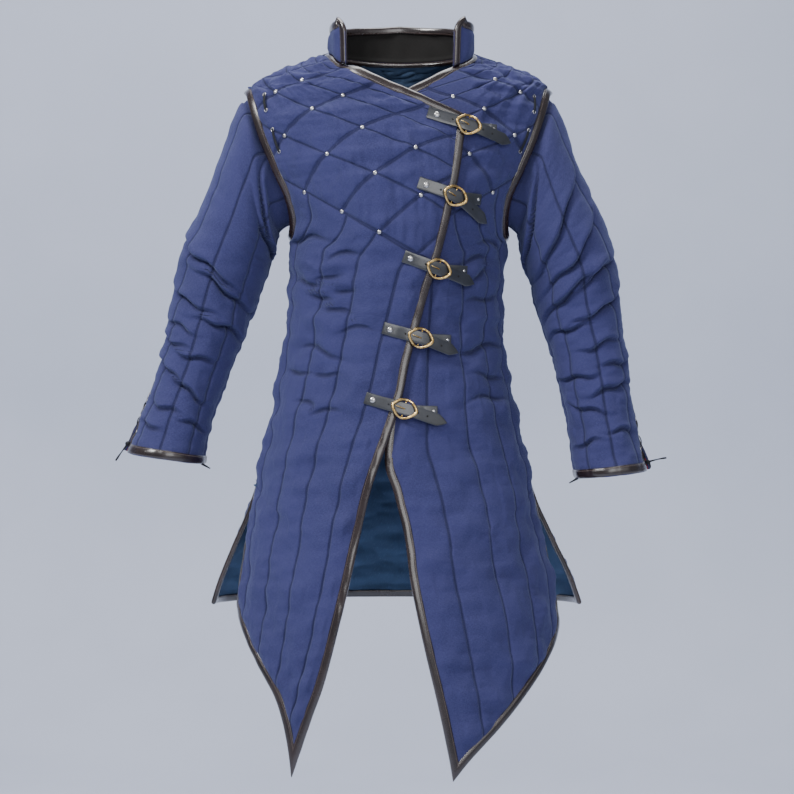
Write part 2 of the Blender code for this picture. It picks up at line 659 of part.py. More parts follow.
def back_panel(cloth, leather):
    """The back, the strip that binds its slits and hem, and the strip at its neck."""
    near, far = 270 - SEAM_TURN, 90 + SEAM_TURN
    slit = [(near, SLIT_TOP), (near, (SLIT_TOP + BACK_HEM) / 2), (near, BACK_HEM)]
    hem = [(near, BACK_HEM), (225, BACK_HEM + 0.004), (180, BACK_HEM + 0.006),
           (135, BACK_HEM + 0.004), (far, BACK_HEM)]
    far_slit = [(360 - turn, drop) for turn, drop in slit[::-1]]
    (slit, slit_in), (hem, hem_in), (far_slit, far_in) = bound_edges([slit, hem, far_slit], True)
    rows = sum(BACK_SIDE_ROWS)
    neck_drop = BINDING_WIDTH + SEAM_GAP
    shares = column_shares(BACK_CHANNELS, BACK_COLUMNS)
    left = side_line(-90 + SEAM_TURN, neck_drop, mirror_back(slit_in), BACK_SIDE_ROWS)
    left = mirror_back(left)
    right = left * (-1, 1) + (360, 0)
    turns = near + (far - near) * shares
    top = np.stack([turns, np.full_like(turns, neck_drop)], -1)
    bottom = at_line(hem_in, shares, True)
    grid = patch(top, right, bottom, left, rows, shares)
    turn, drop = grid[..., 0], grid[..., 1]
    lift = padded_lift(turn, drop, np.broadcast_to(shares, turn.shape), BACK_CHANNELS,
                       BACK_YOKE_DROP)
    add_object("back", wall(place(turn, drop, lift, True), place(turn, drop, 0.0, True)), cloth)
    slit_part = slit_shares(BACK_SIDE_ROWS[3])
    border = joined(joined(at_line(slit, slit_part, True), hem[:1]), at_line(hem, shares, True),
                    joined(hem[-1:], at_line(far_slit, 1 - slit_part[::-1], True)))
    below = left[-BACK_SIDE_ROWS[3]:]
    cloth_edge = joined(below, bottom, right[-BACK_SIDE_ROWS[3]:][::-1])
    share = BINDING_WIDTH / (BINDING_WIDTH + SEAM_GAP)
    add_object("binding_back", strip(border, border + (cloth_edge - border) * share, 0.0,
                                     BINDING_LIFT, True), leather)
    neck = np.stack([turns, np.zeros_like(turns)], -1)
    add_object("binding_neck_back", strip(neck, neck + (0, BINDING_WIDTH), 0.0, BINDING_LIFT,
                                          True), leather)


def mirror_back(curve):
    """A side line on the back's turns, from one on the front's, and the other way."""
    return np.asarray(curve) * (-1, 1) + (180, 0)


def armhole_binding(name, mirrored, leather):
    """The strip round one armhole, on the front's form and the back's."""
    front = arm_stations(FRONT_SIDE_ROWS[1] + 1)
    rear = 2 * math.pi - arm_stations(BACK_SIDE_ROWS[1] + 1)[::-1][1:-1]
    psi = np.concatenate([front, rear])
    ring, wide = armhole(psi), armhole(psi, ARM_BINDING_WIDTH)
    if mirrored:
        ring, wide = mirror_x(ring), mirror_x(wide)
    add_object(name, strip(ring, wide, 0.0, BINDING_LIFT, np.sin(psi) < -1e-9, closed=True),
               leather)


def sleeve_sections(table, side):
    """Rings of a sleeve's outer face: the head under the armhole, then the table's rows."""
    phi = np.linspace(0, 2 * math.pi, SLEEVE_COLUMNS + 1)[:-1]
    rings = []
    for width, lift in ((SLEEVE_TUCK, SLEEVE_CLEAR), (0.0, SLEEVE_CLEAR), (-0.012, -0.0090)):
        ring = []
        for angle in phi:
            turn, drop = armhole(angle, width)[0]
            from_top = min(angle, 2 * math.pi - angle)
            seated = SLEEVE_SEAT + (lift - SLEEVE_SEAT) * ease(from_top / SLEEVE_SEAT_ANGLE)
            ring.append(place(side * -turn, drop, seated, math.sin(angle) < 0))
        rings.append(np.array(ring))
    for outer_x, outer_z, inner_x, inner_z, centre_y, deep in table:
        centre = np.array([(outer_x + inner_x) / 2, centre_y, (outer_z + inner_z) / 2])
        reach = np.array([(outer_x - inner_x) / 2, 0.0, (outer_z - inner_z) / 2])
        ring = (centre + reach * np.cos(phi)[:, None]
                - np.array([0, deep, 0]) * np.sin(phi)[:, None])
        rings.append(ring * (side, 1, 1))
    return np.array(rings)


def sleeve_grid(table, side, rows):
    """A smooth grid of the sleeve's outer face, evenly spaced along it."""
    sections = sleeve_sections(table, side)
    middles = sections.mean(axis=1)
    steps = np.linalg.norm(np.diff(middles, axis=0), axis=1)
    along = np.concatenate([[0], np.cumsum(np.maximum(steps, 0.006))])
    want = np.concatenate([along[:2], np.linspace(along[2], along[-1], rows - 1)])
    flat = sections.reshape(len(sections), -1)
    read = np.stack([smooth_curve(want, along, column) for column in flat.T], -1)
    grid = read.reshape(rows + 1, SLEEVE_COLUMNS, 3)
    return np.concatenate([grid, grid[:, :1]], axis=1)


def open_slit(grid):
    """Turn each ring to start at the slit and open the last rows there."""
    start = int(round(SLIT_ANGLE / (2 * math.pi) * SLEEVE_COLUMNS)) % SLEEVE_COLUMNS
    ring = np.roll(grid[:, :-1], -start, axis=1)
    grid = np.concatenate([ring, ring[:, :1]], axis=1)
    rows = len(grid) - 1
    for r in range(rows - CUFF_SLIT_ROWS + 1, rows + 1):
        share = (r - rows + CUFF_SLIT_ROWS) / CUFF_SLIT_ROWS
        gap = CUFF_SLIT_GAP * (0.55 + 0.45 * share)
        for column, neighbour in ((0, 1), (-1, -2)):
            way = grid[r, neighbour] - grid[r, column]
            grid[r, column] += way / np.linalg.norm(way) * gap / 2
    return grid


def sleeve_lift(rows, slit_start):
    """How far a sleeve's quilting and folds move its outer face, 0 at the stitching."""
    down = np.linspace(0, 1, rows + 1)[:, None]
    round_share = np.linspace(0, 1, SLEEVE_COLUMNS + 1)[None, :]
    inside = (round_share * SLEEVE_CHANNELS) % 1
    lift = SLEEVE_PUFF * quilt_profile(2 * np.minimum(inside, 1 - inside)) * np.ones_like(down)
    angle = 2 * math.pi * round_share + slit_start
    for place_down, depth, width, where in SLEEVE_FOLDS:
        spread = np.maximum(0.15, 0.5 + 0.5 * np.cos(angle - where))
        lift = lift - depth * spread * np.exp(-((down - place_down) / width) ** 2)
    edge = ease((down - 0.12) / 0.06) * (1 - ease((down - 0.93) / 0.05))
    return lift * edge


def ring_normals(grid):
    """Outward normals of a tube's grid."""
    down = np.gradient(grid, axis=0)
    ring = grid[:, :-1]
    along = np.roll(ring, -1, axis=1) - np.roll(ring, 1, axis=1)
    along = np.concatenate([along, along[:, :1]], axis=1)
    normal = np.cross(along, down)
    normal /= np.linalg.norm(normal, axis=-1, keepdims=True)
    middle = grid[:, :-1].mean(axis=1)[:, None]
    facing = np.sum(normal * (grid - middle), axis=-1)
    return normal * np.sign(np.median(facing))


def sleeve(name, table, side, cloth, leather):
    """One sleeve with the leather that binds its cuff."""
    grid = sleeve_grid(table, side, SLEEVE_ROWS)
    normal = ring_normals(grid)
    start = int(round(SLIT_ANGLE / (2 * math.pi) * SLEEVE_COLUMNS)) % SLEEVE_COLUMNS
    normal = np.roll(normal[:, :-1], -start, axis=1)
    normal = np.concatenate([normal, normal[:, :1]], axis=1)
    grid = open_slit(grid)
    lift = sleeve_lift(SLEEVE_ROWS, 2 * math.pi * start / SLEEVE_COLUMNS)
    outer = grid + normal * lift[..., None]
    inner_lift = np.minimum(lift, 0.0) - SLEEVE_WALL
    inner = grid + normal * inner_lift[..., None]
    joined_rows = SLEEVE_ROWS - CUFF_SLIT_ROWS
    step = np.linalg.norm(grid[-1] - grid[-2], axis=-1).mean()
    share = CUFF_BINDING_WIDTH / step
    leather_top = grid[-1] + (grid[-2] - grid[-1]) * share
    cloth_end = leather_top + (grid[-2] - grid[-1]) * SEAM_GAP / step
    outer[-1] = cloth_end
    inner[-1] = cloth_end - normal[-1] * SLEEVE_WALL
    outer[-2] = (outer[-3] + outer[-1]) / 2
    inner[-2] = (inner[-3] + inner[-1]) / 2
    bm = wall(outer, inner, joined_rows)
    add_object("sleeve_" + name, bm, cloth)
    add_object("binding_cuff_" + name, cuff_binding(leather_top, grid[-1], normal[-1]), leather)


def cuff_binding(top, bottom, normal):
    """The strip that binds a cuff, open at the slit."""
    bm = bmesh.new()
    rings = []
    for upper, lower, out in zip(top, bottom, normal):
        corners = [lower - out * SLEEVE_WALL, lower + out * CUFF_BINDING_LIFT,
                   upper + out * CUFF_BINDING_LIFT, upper - out * SLEEVE_WALL]
        rings.append([bm.verts.new(p) for p in corners])
    close_strip(bm, rings)
    return bm


def neck_drop_at(turn):
    """The neckline's drop at a turn, all round."""
    if abs(turn) > 90:
        return 0.0
    neck = resample(RIGHT_NECK if turn < 0 else LEFT_NECK, 160)
    return float(np.interp(-abs(turn), neck[:, 0], neck[:, 1]))


def collar(cloth, leather):
    """The stand collar on the neck's bindings, and the strip along its ends and its top."""
    turns = np.linspace(COLLAR_LEFT_END, 360 + COLLAR_RIGHT_END, COLLAR_COLUMNS + 3)
    table = np.asarray(COLLAR, float)
    low_out, low_in, high_out, high_in = [], [], [], []
    for turn in turns:
        signed = turn if turn <= 180 else turn - 360
        back = abs(signed) > 90
        drop = neck_drop_at(signed)
        rise = 0.0 if signed > 0 or back else float(overlap_rise(signed, drop))
        seat = BINDING_LIFT + 2 * SEAM_GAP + rise
        low_out.append(place(signed, drop + COLLAR_STEP + COLLAR_WALL, seat, back))
        low_in.append(place(signed, drop + COLLAR_STEP, seat, back))
        out = np.array([math.sin(math.radians(signed)), -math.cos(math.radians(signed)), 0])
        height, lean = [np.interp(abs(signed), table[:, 0], table[:, k]) for k in (1, 2)]
        crown = np.append((low_out[-1] + low_in[-1])[:2] / 2, height) + out * lean
        high_out.append(crown + out * COLLAR_WALL / 2)
        high_in.append(crown - out * COLLAR_WALL / 2)
    low_out, low_in, high_out, high_in = map(np.array, (low_out, low_in, high_out, high_in))
    tall = np.linalg.norm(high_out - low_out, axis=1)[:, None]
    strip_share = 1 - BINDING_WIDTH / tall
    cloth_share = strip_share - SEAM_GAP / tall
    puff = np.array((0.0, 0.8, 1.0, 0.8, 0.0)) * COLLAR_PUFF
    outward = (high_out - high_in) / COLLAR_WALL
    shares = np.linspace(0, 1, 5)
    outer = [low_out + (high_out - low_out) * cloth_share * s + outward * p
             for s, p in zip(shares, puff)]
    inner = [low_in + (high_in - low_in) * cloth_share * s for s in shares]
    outer, inner = np.array(outer)[:, 1:-1], np.array(inner)[:, 1:-1]
    for grid in (outer, inner):
        for k, way in ((0, grid[:, 1] - grid[:, 0]), (-1, grid[:, -2] - grid[:, -1])):
            grid[:, k] += way / np.linalg.norm(way, axis=-1, keepdims=True) * 2 * SEAM_GAP
    add_object("collar", wall(outer, inner), cloth)
    rim_out = low_out + (high_out - low_out) * strip_share
    rim_in = low_in + (high_in - low_in) * strip_share
    path = [(low_out[0], low_in[0], low_out[1], low_in[1])]
    path.append((high_out[0], high_in[0], rim_out[1], rim_in[1]))
    path += [(high_out[k], high_in[k], rim_out[k], rim_in[k])
             for k in range(2, len(turns) - 2)]
    path.append((high_out[-1], high_in[-1], rim_out[-2], rim_in[-2]))
    path.append((low_out[-1], low_in[-1], low_out[-2], low_in[-2]))
    bm = bmesh.new()
    rings = [[bm.verts.new(p) for p in (a, b, d, c)] for a, b, c, d in path]
    close_strip(bm, rings)
    add_object("binding_collar", bm, leather)


def close_strip(bm, rings, ring=False):
    """Faces along a run of four-cornered sections, a ring or with both ends closed."""
    for one, two in zip(rings, rings[1:] + (rings[:1] if ring else [])):
        for k in range(4):
            bm.faces.new((one[k], one[(k + 1) % 4], two[(k + 1) % 4], two[k]))
    if not ring:
        bm.faces.new(rings[0][::-1])
        bm.faces.new(rings[-1])


def height_over(trees, turn, drop, radius):
    """Highest lift of the cloth's mesh under a round fitting, with the frame there."""
    base = form(turn, drop)
    along, down, normal = frame_at(turn, drop)
    along = along / np.linalg.norm(along)
    across = np.cross(normal, along)
    top = 0.0
    for k in range(25):
        angle = k * math.pi / 6
        reach = (1.1 if k < 12 else 0.6 if k < 24 else 0.0) * radius
        start = base + reach * (along * math.cos(angle) + across * math.sin(angle))
        start = start + normal * 0.05
        for tree in trees:
            hit = tree.ray_cast(Vector(start), Vector(-normal), 0.06)
            if hit[0] is not None:
                top = max(top, 0.05 - hit[3])
    return top, base, along, across, normal


def dome(name, base, along, across, normal, lift, radius, height, mat):
    """A low dome on a flat base."""
    turn_matrix = Matrix((along, across, normal)).transposed().to_4x4()
    turn_matrix.translation = Vector(base + normal * (lift + SEAM_GAP))
    bm = bmesh.new()
    rings = []
    for share, rise in ((1.0, 0.0), (0.82, 0.60)):
        rings.append([bm.verts.new((radius * share * math.cos(a), radius * share * math.sin(a),
                                    height * rise))
                      for a in np.linspace(0, 2 * math.pi, DOME_SIDES + 1)[:-1]])
    crown = bm.verts.new((0, 0, height))
    bm.faces.new(rings[0][::-1])
    for one, two in zip(rings, rings[1:]):
        for k in range(DOME_SIDES):
            after = (k + 1) % DOME_SIDES
            bm.faces.new((one[k], one[after], two[after], two[k]))
    for k in range(DOME_SIDES):
        bm.faces.new((rings[-1][k], rings[-1][(k + 1) % DOME_SIDES], crown))
    bm.transform(turn_matrix)
    return add_object(name, bm, mat)


def strap(path, lifts, width, thickness, pointed=False):
    """A flat strap along (turn, drop) points at the lifts of its underside."""
    points = place(path[:, 0], path[:, 1], lifts)
    _, _, normal = frame_at(path[:, 0], path[:, 1])
    along = np.gradient(points, axis=0)
    side = np.cross(normal, along)
    side /= np.linalg.norm(side, axis=1, keepdims=True)
    up = np.cross(along, side)
    up /= np.linalg.norm(up, axis=1, keepdims=True)
    bm = bmesh.new()
    rings = []
    for i, (p, s, n) in enumerate(zip(points, side, up)):
        half = width / 2
        if pointed and i >= len(points) - len(STRAP_TIP):
            half *= STRAP_TIP[i - len(points) + len(STRAP_TIP)]
        corners = [p - s * half, p + s * half, p + s * half + n * thickness,
                   p - s * half + n * thickness]
        rings.append([bm.verts.new(c) for c in corners])
    close_strip(bm, rings)
    return bm


def strap_path(start, middle, end):
    """Evenly spaced (turn, drop) points from the start through the middle to the end."""
    first, second = middle - start, end - middle
    begin = start - first / np.linalg.norm(first * (TURN_LENGTH, 1)) * STRAP_START
    legs = joined([begin, start, middle], [middle, middle + second / 2, end])
    return resample(legs, STRAP_STATIONS)


def closure(number, points, trees, mats):
    """One strap, the short strap that holds its buckle, the buckle and the rivet."""
    rivet, buckle, tip = (np.array(point) for point in points)
    path = strap_path(rivet, buckle, tip)
    nearest = int(np.argmin(np.linalg.norm((path - buckle) * (TURN_LENGTH, 1), axis=1)))
    middle = nearest / (STRAP_STATIONS - 1)
    top, base, along, across, normal = height_over(trees[:1], *rivet, STRAP_WIDTH / 2)
    seat = top + SEAM_GAP
    lifts = np.interp(np.linspace(0, 1, STRAP_STATIONS),
                      (0, middle * 0.35, middle * 0.7, middle - 0.07, middle + 0.10,
                       middle + 0.34, 1), (seat, seat) + STRAP_LIFTS)
    add_object("strap_%d" % number, strap(path, lifts, STRAP_WIDTH, STRAP_THICKNESS, True),
               mats["strap"])
    dome("rivet_%d" % number, base, along, across, normal, seat + STRAP_THICKNESS,
         RIVET_RADIUS, RIVET_HEIGHT, mats["steel"])
    start = max(buckle[0], over_edge(buckle[1])) + CHAPE_START
    stop = buckle[0] + CHAPE_LENGTH / np.linalg.norm(frame_at(*buckle)[0])
    chape = np.stack([np.linspace(start, stop, CHAPE_STATIONS),
                      buckle[1] + np.linspace(*CHAPE_FALL, CHAPE_STATIONS)], -1)
    cloth = [height_over(trees[1:], *point, STRAP_WIDTH / 2)[0] for point in chape]
    chape_lift = [max(cloth[max(k - 1, 0):k + 2]) + SEAM_GAP for k in range(len(cloth))]
    add_object("chape_%d" % number, strap(chape, chape_lift, CHAPE_WIDTH, CHAPE_THICKNESS),
               mats["strap"])
    buckle_frame(number, buckle, path[nearest + 1] - path[nearest - 1], mats["brass"])


def buckle_frame(number, buckle, way, brass):
    """An oval frame with pointed ends and a bar, the bar under the strap.

    The way is the strap's direction in turn and drop.
    """
    per_turn, per_drop, normal = frame_at(*buckle)
    along = per_turn * way[0] + per_drop * way[1]
    along /= np.linalg.norm(along)
    across = np.cross(normal, along)
    turn_matrix = Matrix((along, across, normal)).transposed().to_4x4()
    turn_matrix.translation = Vector(form(*buckle))
    low, high = BUCKLE_LIFTS
    bm = bmesh.new()
    rings = []
    for a in np.linspace(0, 2 * math.pi, BUCKLE_SIDES, endpoint=False):
        pointed = 1 + BUCKLE_POINT * abs(math.cos(a)) ** 6
        notch = 1 - BUCKLE_POINT * abs(math.sin(a)) ** 10
        middle = np.array([BUCKLE_LENGTH / 2 * math.cos(a) * pointed,
                           BUCKLE_WIDTH / 2 * math.sin(a) * notch,
                           high - (high - low) * math.sin(a) ** 6])
        outward = np.array([math.cos(a), math.sin(a), 0.0])
        ring = []
        for b in np.linspace(0, 2 * math.pi, WIRE_SIDES, endpoint=False):
            ring.append(bm.verts.new(middle + BUCKLE_WIRE * (outward * math.cos(b)
                                                            + np.array([0, 0, 1]) * math.sin(b))))
        rings.append(ring)
    for one, two in zip(rings, rings[1:] + rings[:1]):
        for j in range(WIRE_SIDES):
            after = (j + 1) % WIRE_SIDES
            bm.faces.new((one[j], two[j], two[after], one[after]))
    bm.transform(turn_matrix)
    frame = add_object("buckle_%d" % number, bm, brass)
    bar = bmesh.new()
    bmesh.ops.create_cone(bar, cap_ends=True, segments=BAR_SIDES, radius1=BAR_RADIUS,
                          radius2=BAR_RADIUS, depth=BAR_LENGTH)
    bar.transform(Matrix.Rotation(math.pi / 2, 4, "X"))
    bar.transform(Matrix.Translation((0, 0, BAR_LIFT)))
    bar.transform(turn_matrix)
    tool = add_object("bar_guide_%d" % number, bar, brass)
    tool.hide_render = True
    tool.display_type = "WIRE"
    union = frame.modifiers.new("bar", "BOOLEAN")
    union.operation = "UNION"
    union.object = tool


def studs(trees, steel):
    """Dome studs where the quilting of the yokes crosses."""
    for side, table, name in ((1, STUD_ROWS, "right"), (-1, LEFT_STUDS, "left")):
        number = 0
        for row, places in table.items():
            for place_in_row in places:
                turn, drop = diamond_point(place_in_row, row)
                turn *= side
                number += 1
                seat = height_over(trees, turn, drop, STUD_RADIUS)
                dome("stud_%s_%02d" % (name, number), seat[1], seat[2], seat[3], seat[4],
                     seat[0], STUD_RADIUS, STUD_HEIGHT, steel)


def main():
    """Make every piece."""
    clear_scene()
    cloth = material("navy_canvas", NAVY, 0.85)
    leather = material("binding_leather", LEATHER, 0.40)
    mats = {"strap": material("strap_leather", STRAP_LEATHER, 0.50),
            "brass": material("brass", BRASS, 0.30, 1.0),
            "steel": material("steel", STEEL, 0.28, 1.0)}
    right_tree, border, inner = front_panel(
        "front_right", (RIGHT_NECK, RIGHT_EDGE, RIGHT_HEM[::-1], RIGHT_SLIT[::-1]),
        RIGHT_NECK_CORNER, RIGHT_CHANNELS, False, right_low, right_high, cloth)
    rise = overlap_rise(inner[:, 0], inner[:, 1])
    add_object("binding_front_right", strip(border, inner, rise, rise + BINDING_LIFT), leather)
    left_tree, border, inner = front_panel(
        "front_left", (LEFT_NECK, LEFT_EDGE, LEFT_HEM[::-1], LEFT_SLIT[::-1]),
        LEFT_NECK_CORNER, LEFT_CHANNELS, True, left_low, left_high, cloth)
    hidden = -border[:, 0] < over_edge(border[:, 1]) + 2
    add_object("binding_front_left",
               strip(mirror_x(border), mirror_x(inner), 0.0,
                     np.where(hidden, OVERLAP_CLOTH, BINDING_LIFT)), leather)
    back_panel(cloth, leather)
    armhole_binding("binding_armhole_right", False, leather)
    armhole_binding("binding_armhole_left", True, leather)
    sleeve("right", RIGHT_SLEEVE, -1, cloth, leather)
    sleeve("left", LEFT_SLEEVE, 1, cloth, leather)
    collar(cloth, leather)
    trees = (right_tree, left_tree)
    for number, points in enumerate(CLOSURES, 1):
        closure(number, points, trees, mats)
    studs(trees, mats["steel"])


main()
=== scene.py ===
"""A quilted navy gambeson, dressed over its solids.

Metres, +Z up, the front towards -Y. Cloth, leather and metal are placed on the body form by
turn, an angle round the body, by drop, a length down from the neck, and by lift off the form.
"""

import logging
import math
from dataclasses import dataclass
from enum import Enum
from typing import Any, Sequence

import bmesh
import bpy
import numpy as np
from mathutils import Matrix, Vector
from mathutils.bvhtree import BVHTree


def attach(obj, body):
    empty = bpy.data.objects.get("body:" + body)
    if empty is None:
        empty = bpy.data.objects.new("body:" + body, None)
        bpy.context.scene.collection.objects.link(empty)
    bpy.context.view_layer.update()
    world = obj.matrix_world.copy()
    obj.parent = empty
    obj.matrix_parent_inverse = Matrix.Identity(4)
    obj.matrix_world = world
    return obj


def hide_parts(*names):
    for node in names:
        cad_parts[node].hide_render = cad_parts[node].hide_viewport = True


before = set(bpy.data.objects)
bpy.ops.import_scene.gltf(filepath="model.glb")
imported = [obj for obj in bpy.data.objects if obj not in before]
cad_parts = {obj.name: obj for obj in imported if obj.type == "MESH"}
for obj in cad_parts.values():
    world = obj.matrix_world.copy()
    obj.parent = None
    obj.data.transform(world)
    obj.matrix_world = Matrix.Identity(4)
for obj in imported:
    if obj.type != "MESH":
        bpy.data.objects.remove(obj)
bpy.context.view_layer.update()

LOG = logging.getLogger("gambeson")
Array = np.ndarray
Point = tuple[float, float]
Colour = tuple[float, float, float]

# Body form: drop, height, half widths, depths, parting and centre of each level
FORM_LEVELS = (
    (0.000, 0.004, 0.104, 0.104, 0.070, 0.074, 0.000, 0.005),
    (0.045, -0.010, 0.143, 0.143, 0.080, 0.086, 0.000, 0.004),
    (0.090, -0.027, 0.188, 0.188, 0.091, 0.098, 0.000, 0.003),
    (0.130, -0.044, 0.225, 0.225, 0.101, 0.108, 0.000, 0.002),
    (0.153, -0.060, 0.238, 0.238, 0.107, 0.113, 0.000, 0.002),
    (0.180, -0.085, 0.242, 0.242, 0.114, 0.119, 0.000, 0.002),
    (0.225, -0.130, 0.235, 0.235, 0.124, 0.126, 0.000, 0.002),
    (0.275, -0.180, 0.213, 0.213, 0.132, 0.130, 0.000, 0.002),
    (0.320, -0.225, 0.187, 0.187, 0.135, 0.130, 0.000, 0.002),
    (0.360, -0.265, 0.171, 0.171, 0.134, 0.126, 0.000, 0.003),
    (0.465, -0.370, 0.163, 0.163, 0.126, 0.112, 0.000, -0.002),
    (0.525, -0.430, 0.165, 0.165, 0.123, 0.106, 0.000, -0.004),
    (0.600, -0.505, 0.176, 0.176, 0.126, 0.114, 0.000, -0.005),
    (0.680, -0.585, 0.193, 0.193, 0.136, 0.130, 0.000, -0.005),
    (0.775, -0.680, 0.213, 0.214, 0.150, 0.148, 0.001, -0.005),
    (0.965, -0.870, 0.250, 0.291, 0.166, 0.178, 0.018, -0.001),
    (1.260, -1.165, 0.272, 0.310, 0.176, 0.200, 0.030, 0.000),
)

# Cloth and leather in metres: the stitching's lift, the padding's rise, the cloth's wall and
# the rise of the right front over the left one
STITCH_LIFT = 0.0055
PUFF = 0.0038
CLOTH_WALL = 0.0052
OVERLAP_CLOTH = 0.0056
RISE, RISE_TURN, RISE_FULL = 0.0090, 27.0, 14.0
BINDING_WIDTH = 0.0130
ARM_BINDING_WIDTH = 0.0120
CUFF_BINDING_WIDTH = 0.0145
# Metres in one degree of turn
TURN_LENGTH = 0.0024
# Relief near edges: reach beside a seam, where it starts and its reach beside a strip, least share
SEAM_REACH, STRIP_START, STRIP_REACH, LEAST_RELIEF = 0.016, 0.009, 0.013, 0.15
# Folds: bend along their length, sway and its waves, height over the given one, crease's reach
FOLD_BEND, FOLD_SWAY, FOLD_WAVES, FOLD_GAIN, CREASE_REACH = 0.12, 0.0032, 95, 2.1, 0.009
# Gathers at a stitched line: height, wavelength and reach of the short and the wide ones
SHORT_PUCKER = (0.00115, 0.013, 0.010)
WIDE_PUCKER = (0.0034, 0.034, 0.026)
# Unevenness: the padding's swell, the share of the padding in the diamonds, and waves as
# height, wavelength and seed
SWELL, DIAMOND_PUFF, DIAMOND_REACH = 0.0030, 0.72, 0.030
CRUMPLES = ((0.00045, 0.021, 11), (0.00170, 0.095, 13))

# Openings and seams
SHOULDER_TIP, ARMPIT = 0.150, 0.375
ARM_TURN, ARM_SQUARE, ARM_SPREAD = 27.0, 0.62, 0.16
SLIT_TOP, BACK_HEM = 0.770, 0.968

# Edges of the fronts as (turn, drop), the left one's turns mirrored
RIGHT_NECK = ((-90, 0.0), (-70, 0.010), (-48.8, 0.033), (-34, 0.065), (-22.5, 0.095),
              (-11.4, 0.126), (-2.9, 0.148), (5.4, 0.165), (13.7, 0.182), (25.2, 0.202))
RIGHT_EDGE = ((25.2, 0.202), (25.1, 0.242), (26.0, 0.288), (26.4, 0.320), (24.7, 0.374),
              (22.1, 0.4185), (17.3, 0.469), (12.9, 0.522), (7.4, 0.584), (4.0, 0.6355),
              (-2.2, 0.701), (-8.4, 0.770), (-13.0, 0.845), (-17.7, 0.939),
              (-24.0, 1.057), (-28.7, 1.118), (-36.0, 1.210))
RIGHT_HEM = ((-36.0, 1.210), (-37.6, 1.172), (-40.5, 1.128), (-45.0, 1.089), (-53.4, 1.051),
             (-61.8, 1.019), (-69.2, 0.994), (-80.3, 0.963))
RIGHT_SLIT = ((-80.3, 0.963), (-84.5, 0.899), (-88.5, 0.824), (-90, SLIT_TOP))
LEFT_NECK = ((-90, 0.0), (-70, 0.012), (-56.9, 0.030), (-27.7, 0.086), (-12.4, 0.132),
             (-3.2, 0.158), (4.0, 0.180))
LEFT_EDGE = ((4.0, 0.180), (1.0, 0.300), (-1.0, 0.450), (1.0, 0.600), (3.8, 0.727),
             (0.0, 0.780), (-3.7, 0.845), (-5.2, 0.912), (-7.3, 0.968), (-9.8, 1.025),
             (-13.4, 1.098), (-16.7, 1.173), (-18.1, 1.212))
LEFT_HEM = ((-18.1, 1.212), (-24.5, 1.180), (-34.5, 1.140), (-49.4, 1.084), (-65.5, 1.034),
            (-83.0, 0.990))
LEFT_SLIT = ((-83.0, 0.990), (-86.5, 0.920), (-89.0, 0.848), (-90, SLIT_TOP))

# Quilting
RIGHT_CHANNELS = (0.0, 0.17, 0.42, 0.62, 0.84, 1.0)
LEFT_CHANNELS = (0.0, 0.17, 0.36, 0.57, 0.80, 1.0)
BACK_CHANNELS = tuple(k / 10 for k in range(11))
YOKE_DROP = ((-90, 0.250), (-60, 0.290), (-49, 0.311), (-29, 0.349), (-8, 0.386), (5, 0.410),
             (30, 0.440))
BACK_YOKE_DROP = ((90, 0.300), (135, 0.350), (180, 0.400), (225, 0.350), (270, 0.300))
DIAMOND_TURN, DIAMOND_FALL = 19.6, 0.033
ROW_TURN, ROW_DROP = (1.8, -1.8), (0.079, 0.009)
DIAMOND_ORIGIN = (-29.1, 0.260)
ROW_LENGTH, DIAGONAL_LENGTH = 0.078, 0.044
STUD_ROWS = {-2: (0, 1), -1: (-1, 0, 1, 2), 0: (-1, 0, 1, 2), 1: (-1, 0, 1)}
LEFT_STUDS = {-2: (0, 1), -1: (-1, 0), 0: (-1, 0), 1: (-1,)}

# Closures: turn and drop of the rivet, the buckle and the strap's tip
CLOSURES = (
    ((13.8, 0.205), (25.6, 0.219), (46.5, 0.240)),
    ((12.0, 0.311), (25.4, 0.325), (48.0, 0.363)),
    ((6.5, 0.421), (20.8, 0.436), (43.5, 0.458)),
    ((-2.1, 0.531), (12.7, 0.544), (33.0, 0.567)),
    ((-9.3, 0.641), (4.6, 0.655), (23.6, 0.676)),
)

# Sleeves: outer edge x and z, inner edge x and z, centre y and half depth of each section
RIGHT_SLEEVE = (
    (0.249, -0.072, 0.1870, -0.272, 0.001, 0.066),
    (0.264, -0.109, 0.1910, -0.284, 0.001, 0.072),
    (0.283, -0.160, 0.1945, -0.295, 0.001, 0.077),
    (0.306, -0.221, 0.1985, -0.309, 0.002, 0.078),
    (0.325, -0.266, 0.2030, -0.325, 0.003, 0.077),
    (0.341, -0.304, 0.2080, -0.345, 0.004, 0.074),
    (0.354, -0.360, 0.2256, -0.389, 0.005, 0.069),
    (0.366, -0.426, 0.2464, -0.445, 0.004, 0.064),
    (0.378, -0.485, 0.2704, -0.509, -0.002, 0.059),
    (0.400, -0.557, 0.2960, -0.582, -0.013, 0.056),
    (0.419, -0.608, 0.3040, -0.627, -0.021, 0.058),
    (0.427, -0.627, 0.3060, -0.645, -0.024, 0.060),
)
